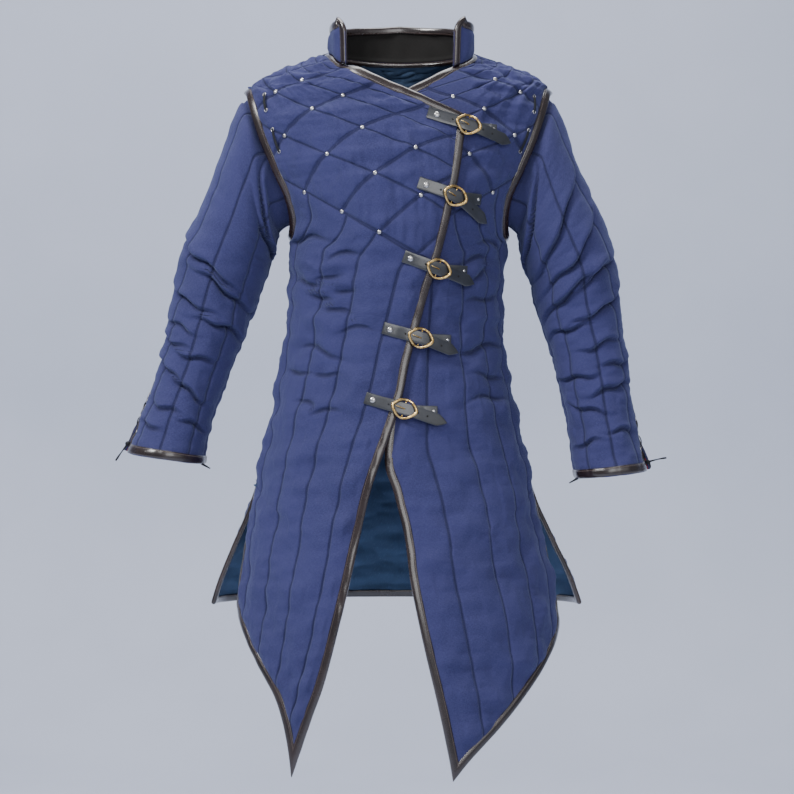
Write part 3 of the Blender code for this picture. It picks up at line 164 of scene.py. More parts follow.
LEFT_SLEEVE = (
    (0.251, -0.072, 0.1900, -0.274, 0.001, 0.066),
    (0.267, -0.110, 0.1940, -0.287, 0.001, 0.072),
    (0.287, -0.166, 0.1970, -0.301, 0.001, 0.077),
    (0.307, -0.214, 0.2000, -0.319, 0.002, 0.078),
    (0.330, -0.266, 0.2070, -0.341, 0.003, 0.077),
    (0.347, -0.318, 0.2160, -0.360, 0.004, 0.074),
    (0.355, -0.384, 0.2270, -0.410, 0.005, 0.069),
    (0.362, -0.445, 0.2480, -0.467, 0.004, 0.064),
    (0.370, -0.512, 0.2608, -0.528, -0.002, 0.059),
    (0.376, -0.573, 0.2720, -0.584, -0.013, 0.056),
    (0.389, -0.634, 0.2800, -0.646, -0.021, 0.058),
    (0.395, -0.656, 0.2830, -0.668, -0.024, 0.060),
)

# Collar, by how far round from the front: height of its top, lean outwards
COLLAR_SHAPE = ((0, 0.049, 0.004), (40, 0.049, 0.004), (62, 0.048, -0.004), (90, 0.048, -0.012),
                (135, 0.062, -0.006), (180, 0.070, 0.000))
COLLAR_RIGHT_END, COLLAR_LEFT_END = -24.5, 25.5
NECK_CORNERS = (-49.0, -55.0)

# Eyelets' and their wire's radius
EYELET, EYELET_WIRE = 0.0027, 0.0007

# Studio: lights' places, sides and watts, where they aim, the room's light and the camera
LIGHTS = {"key": ((-2.5, -2.3, 2.5), 1.2, 195.0), "fill": ((2.6, -3.4, 0.6), 2.6, 16.0),
          "front": ((0.4, -3.3, 0.6), 1.9, 48.0), "top": ((0.2, 0.2, 2.6), 1.6, 45.0),
          "backdrop": ((0.0, 0.9, 3.4), 3.0, 90.0)}
AIM = (0, 0, -0.55)
SKY = ((0.80, 0.86, 1.0, 1.0), 0.31)
CAMERA_AT, CAMERA_LENS = (0.0, -3.2, -0.539), 90.7

# Loose ends of the cuff laces: how far each reaches from its knot
LACE_ENDS = {"RIGHT": (-0.0190, -0.004, -0.0240), "LEFT": (0.0290, -0.006, 0.0100)}

# Folds: across, down, heading, length, width, height
RIGHT_FOLDS = (
    (-0.133, 0.455, 10, 0.035, 0.0062, -0.0050), (-0.094, 0.448, -16, 0.023, 0.0062, -0.0044),
    (-0.071, 0.414, -11, 0.024, 0.0062, -0.0034), (-0.138, 0.386, -2, 0.048, 0.0062, -0.0034),
    (-0.067, 0.469, -5, 0.017, 0.0062, -0.0036), (-0.107, 0.478, 15, 0.024, 0.0062, -0.0036),
    (-0.077, 0.499, 17, 0.026, 0.0062, -0.0036), (-0.097, 0.562, 18, 0.041, 0.0062, -0.0036),
    (-0.134, 0.595, 6, 0.030, 0.0062, -0.0030), (-0.085, 0.598, 0, 0.023, 0.0062, -0.0020),
    (-0.080, 0.657, -9, 0.020, 0.0062, -0.0034), (-0.083, 0.430, -12, 0.030, 0.0090, 0.0030),
    (-0.124, 0.429, 15, 0.029, 0.0090, 0.0026), (-0.071, 0.456, -5, 0.019, 0.0090, 0.0028),
    (-0.110, 0.644, 24, 0.019, 0.0062, -0.0026), (-0.048, 0.529, -4, 0.025, 0.0062, -0.0014),
    (-0.112, 0.514, 8, 0.035, 0.0090, 0.0020),
)
LEFT_FOLDS = (
    (-0.128, 0.556, 11, 0.056, 0.0062, -0.0048), (-0.121, 0.443, 20, 0.028, 0.0062, -0.0044),
    (-0.112, 0.419, 13, 0.034, 0.0062, -0.0029), (-0.131, 0.479, 7, 0.038, 0.0062, -0.0033),
    (-0.133, 0.512, 8, 0.047, 0.0090, 0.0026), (-0.134, 0.601, -7, 0.037, 0.0062, -0.0033),
    (-0.124, 0.635, 4, 0.042, 0.0062, -0.0026), (-0.142, 0.393, -6, 0.031, 0.0062, -0.0033),
)
BACK_FOLDS = (
    (-0.120, 0.440, -18, 0.070, 0.010, -0.0040), (0.110, 0.455, 16, 0.070, 0.010, -0.0042),
    (0.020, 0.490, 4, 0.090, 0.011, -0.0044), (-0.080, 0.530, -12, 0.070, 0.010, 0.0034),
    (0.120, 0.560, 10, 0.060, 0.010, -0.0036), (-0.150, 0.590, 12, 0.060, 0.010, -0.0032),
)
# Folds of the sleeves: down, depth, width, where, slope, spread
RIGHT_SLEEVE_FOLDS = (
    (0.16, 0.0060, 0.016, 2.2, 1.6, 0.55), (0.245, 0.0065, 0.015, 2.7, 1.0, 0.6),
    (0.405, 0.0070, 0.012, 1.1, 0.55, 0.8), (0.475, 0.0075, 0.012, 1.9, 0.45, 0.7),
    (0.515, 0.0056, 0.011, 0.9, 0.45, 0.7), (0.585, 0.0066, 0.011, 2.1, 0.25, 0.6),
    (0.602, 0.0042, 0.010, 0.9, 0.25, 0.45), (0.645, 0.0042, 0.010, 0.7, 0.2, 0.5),
    (0.682, 0.0046, 0.010, 1.6, 0.05, 0.5), (0.735, 0.0056, 0.011, 0.8, 0.5, 0.55),
    (0.785, 0.0060, 0.011, 1.7, 0.35, 0.55), (0.850, 0.0036, 0.009, 1.2, 0.2, 0.4),
    (0.885, 0.0036, 0.009, 2.2, 0.3, 0.4), (0.915, 0.0030, 0.009, 0.9, 0.1, 0.35),
    (0.33, 0.0056, 0.013, 4.4, 0.5, 0.8), (0.44, 0.0060, 0.012, 4.9, -0.4, 0.8),
    (0.56, 0.0056, 0.012, 4.2, 0.3, 0.7), (0.69, 0.0052, 0.011, 4.8, -0.3, 0.7),
    (0.80, 0.0046, 0.011, 4.4, 0.3, 0.6),
)
LEFT_SLEEVE_FOLDS = (
    (0.18, 0.0060, 0.016, 2.3, 1.5, 0.6), (0.27, 0.0066, 0.014, 1.5, 0.9, 0.8),
    (0.36, 0.0070, 0.013, 1.4, 0.8, 0.8), (0.42, 0.0070, 0.012, 0.9, 0.5, 0.6),
    (0.465, 0.0070, 0.012, 1.9, 0.6, 0.6), (0.515, 0.0060, 0.011, 1.0, 0.45, 0.7),
    (0.565, 0.0046, 0.010, 2.1, 0.2, 0.5), (0.622, 0.0042, 0.010, 1.3, 0.1, 0.5),
    (0.678, 0.0046, 0.010, 0.9, 0.05, 0.4), (0.705, 0.0046, 0.010, 2.2, 0.1, 0.5),
    (0.750, 0.0060, 0.011, 1.1, 0.15, 0.6), (0.800, 0.0050, 0.010, 2.0, -0.4, 0.45),
    (0.875, 0.0036, 0.009, 1.0, 0.1, 0.4), (0.905, 0.0034, 0.009, 2.2, 0.2, 0.4),
    (0.34, 0.0056, 0.013, 4.5, -0.4, 0.8), (0.47, 0.0060, 0.012, 4.9, 0.4, 0.8),
    (0.59, 0.0056, 0.012, 4.3, -0.3, 0.7), (0.72, 0.0050, 0.011, 4.7, 0.3, 0.7),
)


class Side(Enum):
    """A side of the wearer, with the sign of its X."""

    RIGHT = -1
    LEFT = 1


class Line(Enum):
    """How a piece is quilted."""

    YOKE = "diamonds above, channels below"
    CHANNELS = "channels only"


@dataclass(frozen=True)
class Fold:
    """A crease or ridge pressed into the cloth.

    The place is across and down in metres, the heading in degrees from level, falling to
    the right, and the height is negative for a crease.
    """

    across: float
    down: float
    heading: float
    length: float
    width: float
    height: float

    def relief(self, across: Array, down: Array) -> tuple[Array, Array, Array]:
        """The fold at places on the cloth.

        Args:
            across: metres across.
            down: metres down.

        Returns:
            Its height, metres off its line and its strength of bump and painted shade, at each
            place.
        """
        angle = math.radians(self.heading)
        dx, dy = across - self.across, down - self.down
        run = dx * math.cos(angle) + dy * math.sin(angle)
        bend = FOLD_BEND * run * run / self.length
        off = -dx * math.sin(angle) + dy * math.cos(angle) - bend
        off = off + FOLD_SWAY * np.sin(run * FOLD_WAVES + self.down * 50)
        spread = np.exp(-(run / self.length) ** 2)
        height = FOLD_GAIN * self.height * np.exp(-np.abs(off / self.width) ** 1.4) * spread
        return height, off, spread * (0.95 if self.height < 0 else 0.0)


def smooth_curve(x: Any, xs: Array, ys: Array) -> Array:
    """Read a smooth curve through the points (xs, ys).

    Args:
        x: where to read.
        xs: rising places of the points.
        ys: their values.

    Returns:
        The curve's values at x.
    """
    x = np.clip(x, xs[0], xs[-1])
    steps = np.diff(xs)
    slopes = np.diff(ys) / steps
    tangents = np.empty_like(ys)
    tangents[0], tangents[-1] = slopes[0], slopes[-1]
    tangents[1:-1] = ((slopes[:-1] * steps[1:] + slopes[1:] * steps[:-1])
                      / (steps[:-1] + steps[1:]))
    i = np.clip(np.searchsorted(xs, x) - 1, 0, len(xs) - 2)
    s = (x - xs[i]) / steps[i]
    return (ys[i] * (2 * s**3 - 3 * s**2 + 1) + tangents[i] * steps[i] * (s**3 - 2 * s**2 + s)
            + ys[i + 1] * (-2 * s**3 + 3 * s**2) + tangents[i + 1] * steps[i] * (s**3 - s**2))


def ease(x: Any) -> Array:
    """A smooth step from 0 to 1."""
    x = np.clip(x, 0.0, 1.0)
    return x * x * (3 - 2 * x)


def ripples(u: Array, v: Array, scale: float, seed: int, count: int = 10) -> Array:
    """Smooth unevenness made of waves in random directions.

    Args:
        u: first coordinate.
        v: second coordinate.
        scale: mean wavelength.
        seed: fixes the waves.
        count: how many waves.

    Returns:
        Values of about -1 to 1.
    """
    rng = np.random.default_rng(seed)
    total = np.zeros(np.broadcast(u, v).shape)
    for _ in range(count):
        angle, phase = rng.uniform(0, 2 * math.pi, 2)
        length = scale * rng.uniform(0.6, 1.8)
        total += np.sin(2 * math.pi * (u * math.cos(angle) + v * math.sin(angle)) / length + phase)
    return total / math.sqrt(count) / 1.2


def unit(vectors: Array) -> Array:
    """Vectors at length one."""
    return vectors / np.maximum(np.linalg.norm(vectors, axis=-1, keepdims=True), 1e-12)


def lengths(points: Array) -> Array:
    """Length run at each point of a line."""
    return np.concatenate([[0], np.cumsum(np.linalg.norm(np.diff(points, axis=0), axis=1))])


class BodyForm:
    """The padded body that every panel lies on."""

    def __init__(self) -> None:
        """Read the levels."""
        self.levels = np.array(FORM_LEVELS)

    def point(self, turn: Any, drop: Any, back: bool = False) -> Array:
        """Points of the form.

        Args:
            turn: degrees round the body.
            drop: metres down from the neck.
            back: True on the back's own form.

        Returns:
            The points in metres.
        """
        turn, drop = np.broadcast_arrays(np.asarray(turn, float), np.asarray(drop, float))
        z, front_half, back_half, front_deep, back_deep, parting, centre = [
            smooth_curve(drop, self.levels[:, 0], self.levels[:, k]) for k in range(1, 8)]
        angle = np.radians(turn)
        half = back_half if back else front_half
        deep = back_deep if back else front_deep
        shift = parting if back else -parting
        return np.stack([centre + half * np.sin(angle), shift - deep * np.cos(angle), z], -1)

    def axes(self, turn: Any, drop: Any, back: bool = False) -> tuple[Array, Array, Array]:
        """The form's tangents per degree and per metre of drop, and its normal.

        Args:
            turn: degrees round the body.
            drop: metres down from the neck.
            back: True on the back's own form.

        Returns:
            Both tangents and the unit normal.
        """
        step_turn, step_drop = 0.5, 0.002
        along = (self.point(turn + step_turn, drop, back)
                 - self.point(turn - step_turn, drop, back)) / (2 * step_turn)
        above = np.maximum(np.asarray(drop, float) - step_drop, 0.0)
        down = (self.point(turn, above + 2 * step_drop, back)
                - self.point(turn, above, back)) / (2 * step_drop)
        return along, down, unit(np.cross(down, along))

    def place(self, turn: Any, drop: Any, lift: Any, back: bool = False) -> Array:
        """Points lifted off the form.

        Args:
            turn: degrees round the body.
            drop: metres down from the neck.
            lift: metres off the form.
            back: True on the back's own form.

        Returns:
            The points in metres.
        """
        turn, drop, lift = np.broadcast_arrays(np.asarray(turn, float),
                                               np.asarray(drop, float), np.asarray(lift, float))
        return self.point(turn, drop, back) + self.axes(turn, drop, back)[2] * lift[..., None]

    def at_line(self, curve: Array, shares: Array, back: bool = False) -> Array:
        """Read a dense (turn, drop) line at shares of its length."""
        length = lengths(self.point(curve[:, 0], curve[:, 1], back))
        want = np.asarray(shares) * length[-1]
        return np.stack([np.interp(want, length, curve[:, k]) for k in (0, 1)], -1)

    def resample(self, curve: Sequence[Point], count: int, back: bool = False) -> Array:
        """Evenly spaced points of a smooth line through a few.

        Args:
            curve: (turn, drop) points.
            count: how many points to read.
            back: True on the back's own form.

        Returns:
            The (turn, drop) points.
        """
        rough = np.asarray(curve, float)
        knots = np.arange(len(rough), dtype=float)
        fine = np.linspace(0, knots[-1], 12 * len(rough))
        dense = np.stack([smooth_curve(fine, knots, rough[:, k]) for k in (0, 1)], -1)
        return self.at_line(dense, np.linspace(0, 1, count), back)

    def inset(self, curve: Array, width: float, back: bool = False) -> Array:
        """Move a (turn, drop) line sideways over the form.

        Args:
            curve: the line.
            width: how far, to the left of its direction.
            back: True on the back's own form.

        Returns:
            The moved line.
        """
        points = self.point(curve[:, 0], curve[:, 1], back)
        along, down, normal = self.axes(curve[:, 0], curve[:, 1], back)
        side = unit(np.cross(normal, np.gradient(points, axis=0))) * width
        moved = np.empty_like(curve)
        for i, (a, d, m) in enumerate(zip(along, down, side)):
            moved[i] = curve[i] + np.linalg.lstsq(np.stack([a, d], 1), m, rcond=None)[0]
        return moved

    def bound(self, edges: Sequence[Sequence[Point]], width: float,
              back: bool = False) -> list[tuple[Array, Array]]:
        """Each edge with the line beside it where its binding ends, mitred at the corners.

        Args:
            edges: (turn, drop) edges, end to end.
            width: the binding's width.
            back: True on the back's own form.

        Returns:
            Pairs of an edge and its inner line.
        """
        dense = [self.resample(edge, 160, back) for edge in edges]
        inner = [self.inset(edge, -width, back) for edge in dense]
        for k in range(len(inner) - 1):
            inner[k], inner[k + 1] = cut_corner(inner[k], inner[k + 1])
        return list(zip(dense, inner))


def cut_corner(one: Array, two: Array) -> tuple[Array, Array]:
    """Cut two lines where the first crosses the second.

    Args:
        one: a line that ends near the corner.
        two: a line that starts near it.

    Returns:
        Both lines, cut at the crossing.
    """
    for i in range(len(one) - 1, 0, -1):
        a, b = one[i - 1], one[i]
        for j in range(len(two) - 1):
            c, d = two[j], two[j + 1]
            table = np.array([b - a, c - d]).T
            if abs(np.linalg.det(table)) < 1e-12:
                continue
            s, t = np.linalg.solve(table, c - a)
            if -1e-9 <= s <= 1 + 1e-9 and -1e-9 <= t <= 1 + 1e-9:
                corner = [a + s * (b - a)]
                return np.concatenate([one[:i], corner]), np.concatenate([corner, two[j + 1:]])
    return one, two


FORM = BodyForm()


def armhole(psi: Any, width: float = 0.0) -> Array:
    """The armhole's edge.

    Args:
        psi: angles round it, 0 at the shoulder.
        width: how far outside the edge.

    Returns:
        (turn, drop) points on the right side.
    """
    psi = np.atleast_1d(np.asarray(psi, float))
    half = (ARMPIT - SHOULDER_TIP) / 2 + width
    reach = ARM_TURN + math.degrees(width / ARM_SPREAD)
    wave = np.sign(np.sin(psi)) * np.abs(np.sin(psi)) ** ARM_SQUARE
    return np.stack([-90 + reach * wave, (SHOULDER_TIP + ARMPIT) / 2 - half * np.cos(psi)], -1)


def arm_stations(count: int) -> Array:
    """Angles round half an armhole, evenly spaced along its edge."""
    psi = np.linspace(0, math.pi, 400)
    curve = armhole(psi)
    length = lengths(FORM.point(curve[:, 0], curve[:, 1]))
    return np.interp(np.linspace(0, length[-1], count), length, psi)


def overlap_rise(turn: Array, drop: Array) -> Array:
    """How far the right front is carried up where the left one lies under it."""
    under = np.asarray(LEFT_EDGE[:5], float)
    border = np.interp(drop, under[:, 1], -under[:, 0])
    across = ease((turn - border + RISE_TURN) / (RISE_TURN - RISE_FULL))
    return RISE * across * (1 - ease((drop - 0.735) / 0.10))


def over_edge(drop: Any) -> Array:
    """The turn of the right front's edge at a drop."""
    edge = np.asarray(RIGHT_EDGE, float)
    return np.interp(drop, edge[:, 1], edge[:, 0])


def diamond_place(turn: Array, drop: Array) -> tuple[Array, Array]:
    """Place in the diamond quilting, as the diagonal's number and the row's."""
    fall = DIAMOND_FALL / DIAMOND_TURN
    a = ROW_DROP[1] - fall * ROW_TURN[1]
    b = ROW_DROP[0] - fall * ROW_TURN[0]
    c = fall * (turn - DIAMOND_ORIGIN[0]) - (drop - DIAMOND_ORIGIN[1])
    square, least = b * b - 4 * a * c, 0.12 * b * b
    beyond = math.sqrt(least) + (square - least) / (2 * math.sqrt(least))
    row = (-b + np.where(square > least, np.sqrt(np.maximum(square, 0.0)), beyond)) / (2 * a)
    across = turn - DIAMOND_ORIGIN[0] - ROW_TURN[0] * row - ROW_TURN[1] * row * row
    return across / DIAMOND_TURN + row, row


def diamond_point(place: int, row: int) -> Point:
    """The (turn, drop) of a crossing of the diamond quilting."""
    turn = DIAMOND_ORIGIN[0] + DIAMOND_TURN * place + ROW_TURN[0] * row + ROW_TURN[1] * row * row
    drop = DIAMOND_ORIGIN[1] + DIAMOND_FALL * place + ROW_DROP[0] * row + ROW_DROP[1] * row * row
    return turn, drop


def line_distance(number: Array, pitch: Any) -> Array:
    """Metres to the nearest whole number, with pitch metres between two."""
    return np.abs(number - np.round(number)) * pitch


def puffed(distance: Array, pitch: Any) -> Array:
    """Rise of the padding, 0 on a stitched line and 1 half way to the next."""
    return np.sin(np.clip(distance / (pitch / 2), 0, 1) * math.pi / 2) ** 0.62


def strapped(turn: Array, drop: Array) -> Array:
    """Share of the right front's relief that is left under the straps.

    Args:
        turn: turns of its places.
        drop: their drops.

    Returns:
        The share at each place.
    """
    share = np.ones_like(turn)
    for (near_turn, near_drop), (far_turn, far_drop), _ in CLOSURES:
        across, down = (far_turn - near_turn) * TURN_LENGTH, far_drop - near_drop
        x, y = (turn - near_turn) * TURN_LENGTH, drop - near_drop
        along = np.clip((x * across + y * down) / (across**2 + down**2), -0.2, 1.0)
        clear = np.hypot(x - along * across, y - along * down)
        share = np.minimum(share, 0.30 + 0.70 * ease((clear - 0.0095) / 0.012))
    return share


def puckers(distance: Array, along: Array, number: Array, seed: int) -> Array:
    """Small gathers that a stitched line pulls into the cloth.

    Args:
        distance: metres to the line.
        along: metres along it.
        number: which line.
        seed: fixes the pattern.

    Returns:
        Their height in metres.
    """
    apart = np.round(number) * 0.37
    low, short_wave, reach = SHORT_PUCKER
    high, wide_wave, wide_reach = WIDE_PUCKER
    short = ripples(along, apart, short_wave, seed)
    wide = ripples(along, apart, wide_wave, seed + 1)
    near = distance / reach
    return low * near * np.exp(1 - near) * short + high * np.exp(-distance / wide_reach) * wide


@dataclass
class Quilted:
    """Cloth places ready to be meshed: relief and the maps that the canvas reads."""

    relief: Array
    maps: dict[str, Array]

    def press(self, folds: Sequence[tuple[Array, Array, Array]]) -> None:
        """Press folds into the relief and map the deepest crease near each place, for its bump and
        painted shade.

        Args:
            folds: each fold's height, metres off its line, and strength.
        """
        nearest = np.zeros_like(self.relief)
        line = np.stack([np.ones_like(nearest), nearest], -1)
        for height, off, strength in folds:
            self.relief = self.relief + height
            near = strength * np.exp(-(off / 0.010) ** 2) + 0 * nearest
            shown = near > nearest
            drawn = np.where(np.abs(off) < CREASE_REACH, strength, 0.0)
            line[shown] = np.stack([off + 0 * nearest, drawn + 0 * nearest], -1)[shown]
            nearest = np.maximum(nearest, near)
        self.maps["Crease"] = line


def quilt(across: Array, down: Array, number: Array, pitch: Array, line: Line, seed: int,
          diagonal: Array | None = None, row: Array | None = None,
          border: Array | None = None) -> Quilted:
    """Relief and maps of a quilted grid.

    Args:
        across: metres across at each vertex.
        down: metres down.
        number: place among the channel lines, whole on a line.
        pitch: metres between the channel lines there.
        line: how the piece is quilted.
        seed: fixes the unevenness.
        diagonal: place among the diagonal lines of the diamonds.
        row: place among their rows.
        border: metres below the yoke's border.

    Returns:
        The relief above the stitching, and the maps.
    """
    distance = line_distance(number, pitch)
    fullness = 1 + 0.10 * ripples(number * 0.5, down * 6, 1.3, seed + 2)
    relief = PUFF * puffed(distance, pitch) * fullness + puckers(distance, down, number, seed)
    swell = ripples(np.floor(number) * 0.61, down, 0.052, seed + 5)
    relief = relief + SWELL * swell * np.sin(math.pi * (number % 1)) ** 2
    if line is Line.YOKE:
        by_row = line_distance(row, ROW_LENGTH)
        by_diagonal = line_distance(diagonal, DIAGONAL_LENGTH)
        nearest = np.minimum(by_row, by_diagonal)
        diamonds = DIAMOND_PUFF * PUFF * puffed(nearest, DIAMOND_REACH)
        diamonds = diamonds + puckers(by_row, across, row, seed + 7)
        diamonds = diamonds + puckers(by_diagonal, down, diagonal, seed + 9)
        relief = np.where(border < 0, diamonds, relief)
        relief = relief * ease(np.abs(border) / 0.020) ** 0.55
    for height, wave, more in CRUMPLES:
        relief = relief + height * ripples(across, down, wave, seed + more)
    flat = np.zeros_like(across)
    maps = {"Weave": np.stack([across, down], -1),
            "Channel": np.stack([number, pitch + flat], -1),
            "Quilt": np.stack([flat + 0.5, flat + 0.5], -1),
            "Border": np.stack([flat + 1.0, flat], -1),
            "Crease": np.stack([flat + 1.0, flat], -1)}
    if line is Line.YOKE:
        maps["Quilt"] = np.stack([diagonal, row], -1)
        maps["Border"] = np.stack([border, flat], -1)
    return Quilted(relief, maps)


def linked(name: str, data: Any) -> bpy.types.Object:
    """An object of the given data, linked to the scene."""
    obj = bpy.data.objects.new(name, data)
    bpy.context.scene.collection.objects.link(obj)
    return obj


def grid_object(name: str, points: Array, maps: dict[str, Array], mats: Sequence[Any],
                outward: Array | None = None, weld: bool = False,
                cap: bool = False) -> bpy.types.Object:
    """A piece from a grid whose vertices are set out by row and column.

    Args:
        name: the piece's name.
        points: rows by columns by 3, in metres.
        maps: UV maps by name, rows by columns by 2.
        mats: its materials.
        outward: the way out at the middle of the grid, for an open sheet.
        weld: joins what meets, such as the seam of a tube.
        cap: closes open ends.

    Returns:
        The object, linked to the scene.
    """
    rows, columns = points.shape[0] - 1, points.shape[1] - 1
    bm = bmesh.new()
    bmesh.ops.create_grid(bm, x_segments=columns, y_segments=rows, size=1.0)
    mesh = bpy.data.meshes.new(name)
    bm.to_mesh(mesh)
    bm.free()
    mesh.vertices.foreach_set("co", points.reshape(-1).astype(np.float32))
    corner = np.empty(len(mesh.loops), np.int32)
    mesh.loops.foreach_get("vertex_index", corner)
    for layer in list(mesh.uv_layers):
        mesh.uv_layers.remove(layer)
    for title, values in maps.items():
        layer = mesh.uv_layers.new(name=title)
        layer.data.foreach_set("uv", values.reshape(-1, 2)[corner].reshape(-1).astype(np.float32))
    bm = bmesh.new()
    bm.from_mesh(mesh)
    if weld:
        bmesh.ops.remove_doubles(bm, verts=bm.verts, dist=2e-6)
    if cap:
        bmesh.ops.holes_fill(bm, edges=[e for e in bm.edges if e.is_boundary])
    bm.faces.ensure_lookup_table()
    if outward is None:
        bmesh.ops.recalc_face_normals(bm, faces=bm.faces)
        if bm.calc_volume(signed=True) < 0:
            bmesh.ops.reverse_faces(bm, faces=bm.faces)
    else:
        middle = bm.faces[(rows // 2) * columns + columns // 2]
        middle.normal_update()
        if middle.normal.dot(Vector(outward)) < 0:
            bmesh.ops.reverse_faces(bm, faces=bm.faces)
    bm.to_mesh(mesh)
    bm.free()
    for mat in mats:
        mesh.materials.append(mat)
    mesh.shade_smooth()
    return linked(name, mesh)


def bmesh_object(name: str, bm: bmesh.types.BMesh, mat: Any,
                 place: Matrix | None = None) -> bpy.types.Object:
    """A closed piece from a bmesh.

    Args:
        name: the piece's name.
        bm: its mesh, which is freed.
        mat: its material.
        place: moves the mesh to its place.

    Returns:
        The object, linked to the scene.
    """
    if place is not None:
        bm.transform(place)
    bmesh.ops.recalc_face_normals(bm, faces=bm.faces)
    if bm.calc_volume(signed=True) < 0:
        bmesh.ops.reverse_faces(bm, faces=bm.faces)
    mesh = bpy.data.meshes.new(name)
    bm.to_mesh(mesh)
    bm.free()
    mesh.materials.append(mat)
    mesh.shade_smooth()
    return linked(name, mesh)


def grown_verts(result: dict[str, Any]) -> list[bmesh.types.BMVert]:
    """The vertices that an extrusion made."""
    return [v for v in result["geom"] if isinstance(v, bmesh.types.BMVert)]


def bead(name: str, radius: float, stretch: Sequence[float], mat: Any, place: Matrix,
         sides: int = 12, rings: int = 8) -> bpy.types.Object:
    """A rounded lump.

    Args:
        name: the piece's name.
        radius: its radius.
        stretch: its size along each axis.
        mat: its material.
        place: where it goes.
        sides: faces round it.
        rings: faces from end to end.

    Returns:
        The lump.
    """
    bm = bmesh.new()
    bmesh.ops.create_uvsphere(bm, u_segments=sides, v_segments=rings, radius=radius)
    bmesh.ops.scale(bm, vec=stretch, verts=bm.verts)
    return bmesh_object(name, bm, mat, place)


def solidify(obj: bpy.types.Object, thickness: float, inner: int = 0, rim: int = 0) -> None:
    """Give a sheet its wall, inwards from its face.

    Args:
        obj: the sheet.
        thickness: the wall in metres.
        inner: material offset of the inner face.
        rim: material offset of the rim.
    """
    wall = obj.modifiers.new("wall", "SOLIDIFY")
    wall.thickness = thickness
    wall.offset = -1.0
    wall.material_offset = inner
    wall.material_offset_rim = rim


def dress(obj: bpy.types.Object, nodes: Sequence[str] = ()) -> None:
    """Fix a piece to the garment and what it stands for."""
    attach(obj, "root")
    if nodes:
        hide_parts(*nodes)
    LOG.info("%s: %d faces", obj.name, len(obj.data.polygons))


class Bench:
    """A material's shader and the nodes that feed it."""

    def __init__(self, name: str) -> None:
        """Start a material with a Principled shader."""
        self.material = bpy.data.materials.new(name)
        self.material.use_nodes = True
        self.tree = self.material.node_tree
        self.shader = self.tree.nodes["Principled BSDF"]

    def add(self, kind: str, values: dict[Any, Any], **settings: Any) -> Any:
        """Add a node.

        Args:
            kind: the node's type.
            values: inputs by name or number, as values or other nodes' outputs.
            settings: the node's own settings.

        Returns:
            The node.
        """
        node = self.tree.nodes.new(kind)
        for key, value in settings.items():
            setattr(node, key, value)
        for key, value in values.items():
            if isinstance(value, bpy.types.NodeSocket):
                self.tree.links.new(value, node.inputs[key])
            else:
                node.inputs[key].default_value = value
        return node

    def calc(self, operation: str, *values: Any) -> Any:
        """The output of a Math node."""
        return self.add("ShaderNodeMath", dict(enumerate(values)),
                        operation=operation).outputs[0]

    def times(self, one: Any, two: Any) -> Any:
        """The product of two values."""
        return self.calc("MULTIPLY", one, two)

    def plus(self, one: Any, two: Any) -> Any:
        """The sum of two values."""
        return self.calc("ADD", one, two)

    def minus(self, one: Any, two: Any) -> Any:
        """The first value less the second."""
        return self.calc("SUBTRACT", one, two)

    def layers(self, *parts: tuple[Any, float]) -> Any:
        """A height made of layers.

        Args:
            parts: each layer's value and its metres.

        Returns:
            The height's socket.
        """
        height = self.times(*parts[0])
        for value, metres in parts[1:]:
            height = self.plus(height, self.times(value, metres))
        return height

    def painted(self, colour: Any, *coats: tuple[Any, Any]) -> Any:
        """A colour under coats of others.

        Args:
            colour: the ground.
            coats: each coat's share and its colour.

        Returns:
            The colour's socket.
        """
        for share, coat in coats:
            colour = self.mix(share, colour, coat)
        return colour

    def step(self, value: Any, low: float, high: float, start: float = 0.0,
             end: float = 1.0) -> Any:
        """A smooth step of a value.

        Args:
            value: what is read.
            low: where the step starts.
            high: where it ends.
            start: the result below it.
            end: the result above it.

        Returns:
            The result's socket.
        """
        return self.add("ShaderNodeMapRange", {0: value, 1: low, 2: high, 3: start, 4: end},
                        interpolation_type="SMOOTHSTEP").outputs[0]

    def noise(self, vector: Any, scale: float, detail: float = 4.0, rough: float = 0.55) -> Any:
        """A noise of about 0 to 1."""
        return self.add("ShaderNodeTexNoise", {"Vector": vector, "Scale": scale,
                                               "Detail": detail, "Roughness": rough}).outputs[0]

    def mix(self, share: Any, one: Any, two: Any) -> Any:
        """Mix two colours by a share."""
        return self.add("ShaderNodeMix", {0: share, 6: one, 7: two},
                        data_type="RGBA").outputs[2]

    def place(self) -> Any:
        """Object coordinates."""
        return self.add("ShaderNodeTexCoord", {}).outputs["Object"]

    def uv(self, name: str) -> tuple[Any, Any, Any]:
        """A UV map: its vector and both its values."""
        vector = self.add("ShaderNodeUVMap", {}, uv_map=name).outputs[0]
        parts = self.add("ShaderNodeSeparateXYZ", {0: vector})
        return vector, parts.outputs[0], parts.outputs[1]

    def stretch(self, vector: Any, scale: tuple[float, float, float]) -> Any:
        """A vector stretched along its axes."""
        return self.add("ShaderNodeMapping", {"Vector": vector, "Scale": scale}).outputs[0]

    def bump(self, height: Any, distance: float, normal: Any = None) -> Any:
        """Bend the light by a height in metres times the distance."""
        values = {"Strength": 1.0, "Distance": distance, "Height": height}
        if normal is not None:
            values["Normal"] = normal
        return self.add("ShaderNodeBump", values).outputs[0]

    def finish(self, colour: Any, roughness: Any, normal: Any = None,
               **fixed: Any) -> bpy.types.Material:
        """Feed the shader.

        Args:
            colour: base colour.
            roughness: value or socket.
            normal: bent normal.
            fixed: the shader's other inputs, with _ for a space.

        Returns:
            The material.
        """
        given = {"Base Color": colour, "Roughness": roughness}
        if normal is not None:
            given["Normal"] = normal
        given.update({key.replace("_", " "): value for key, value in fixed.items()})
        for key, value in given.items():
            if isinstance(value, bpy.types.NodeSocket):
                self.tree.links.new(value, self.shader.inputs[key])
            else:
                self.shader.inputs[key].default_value = value
        return self.material


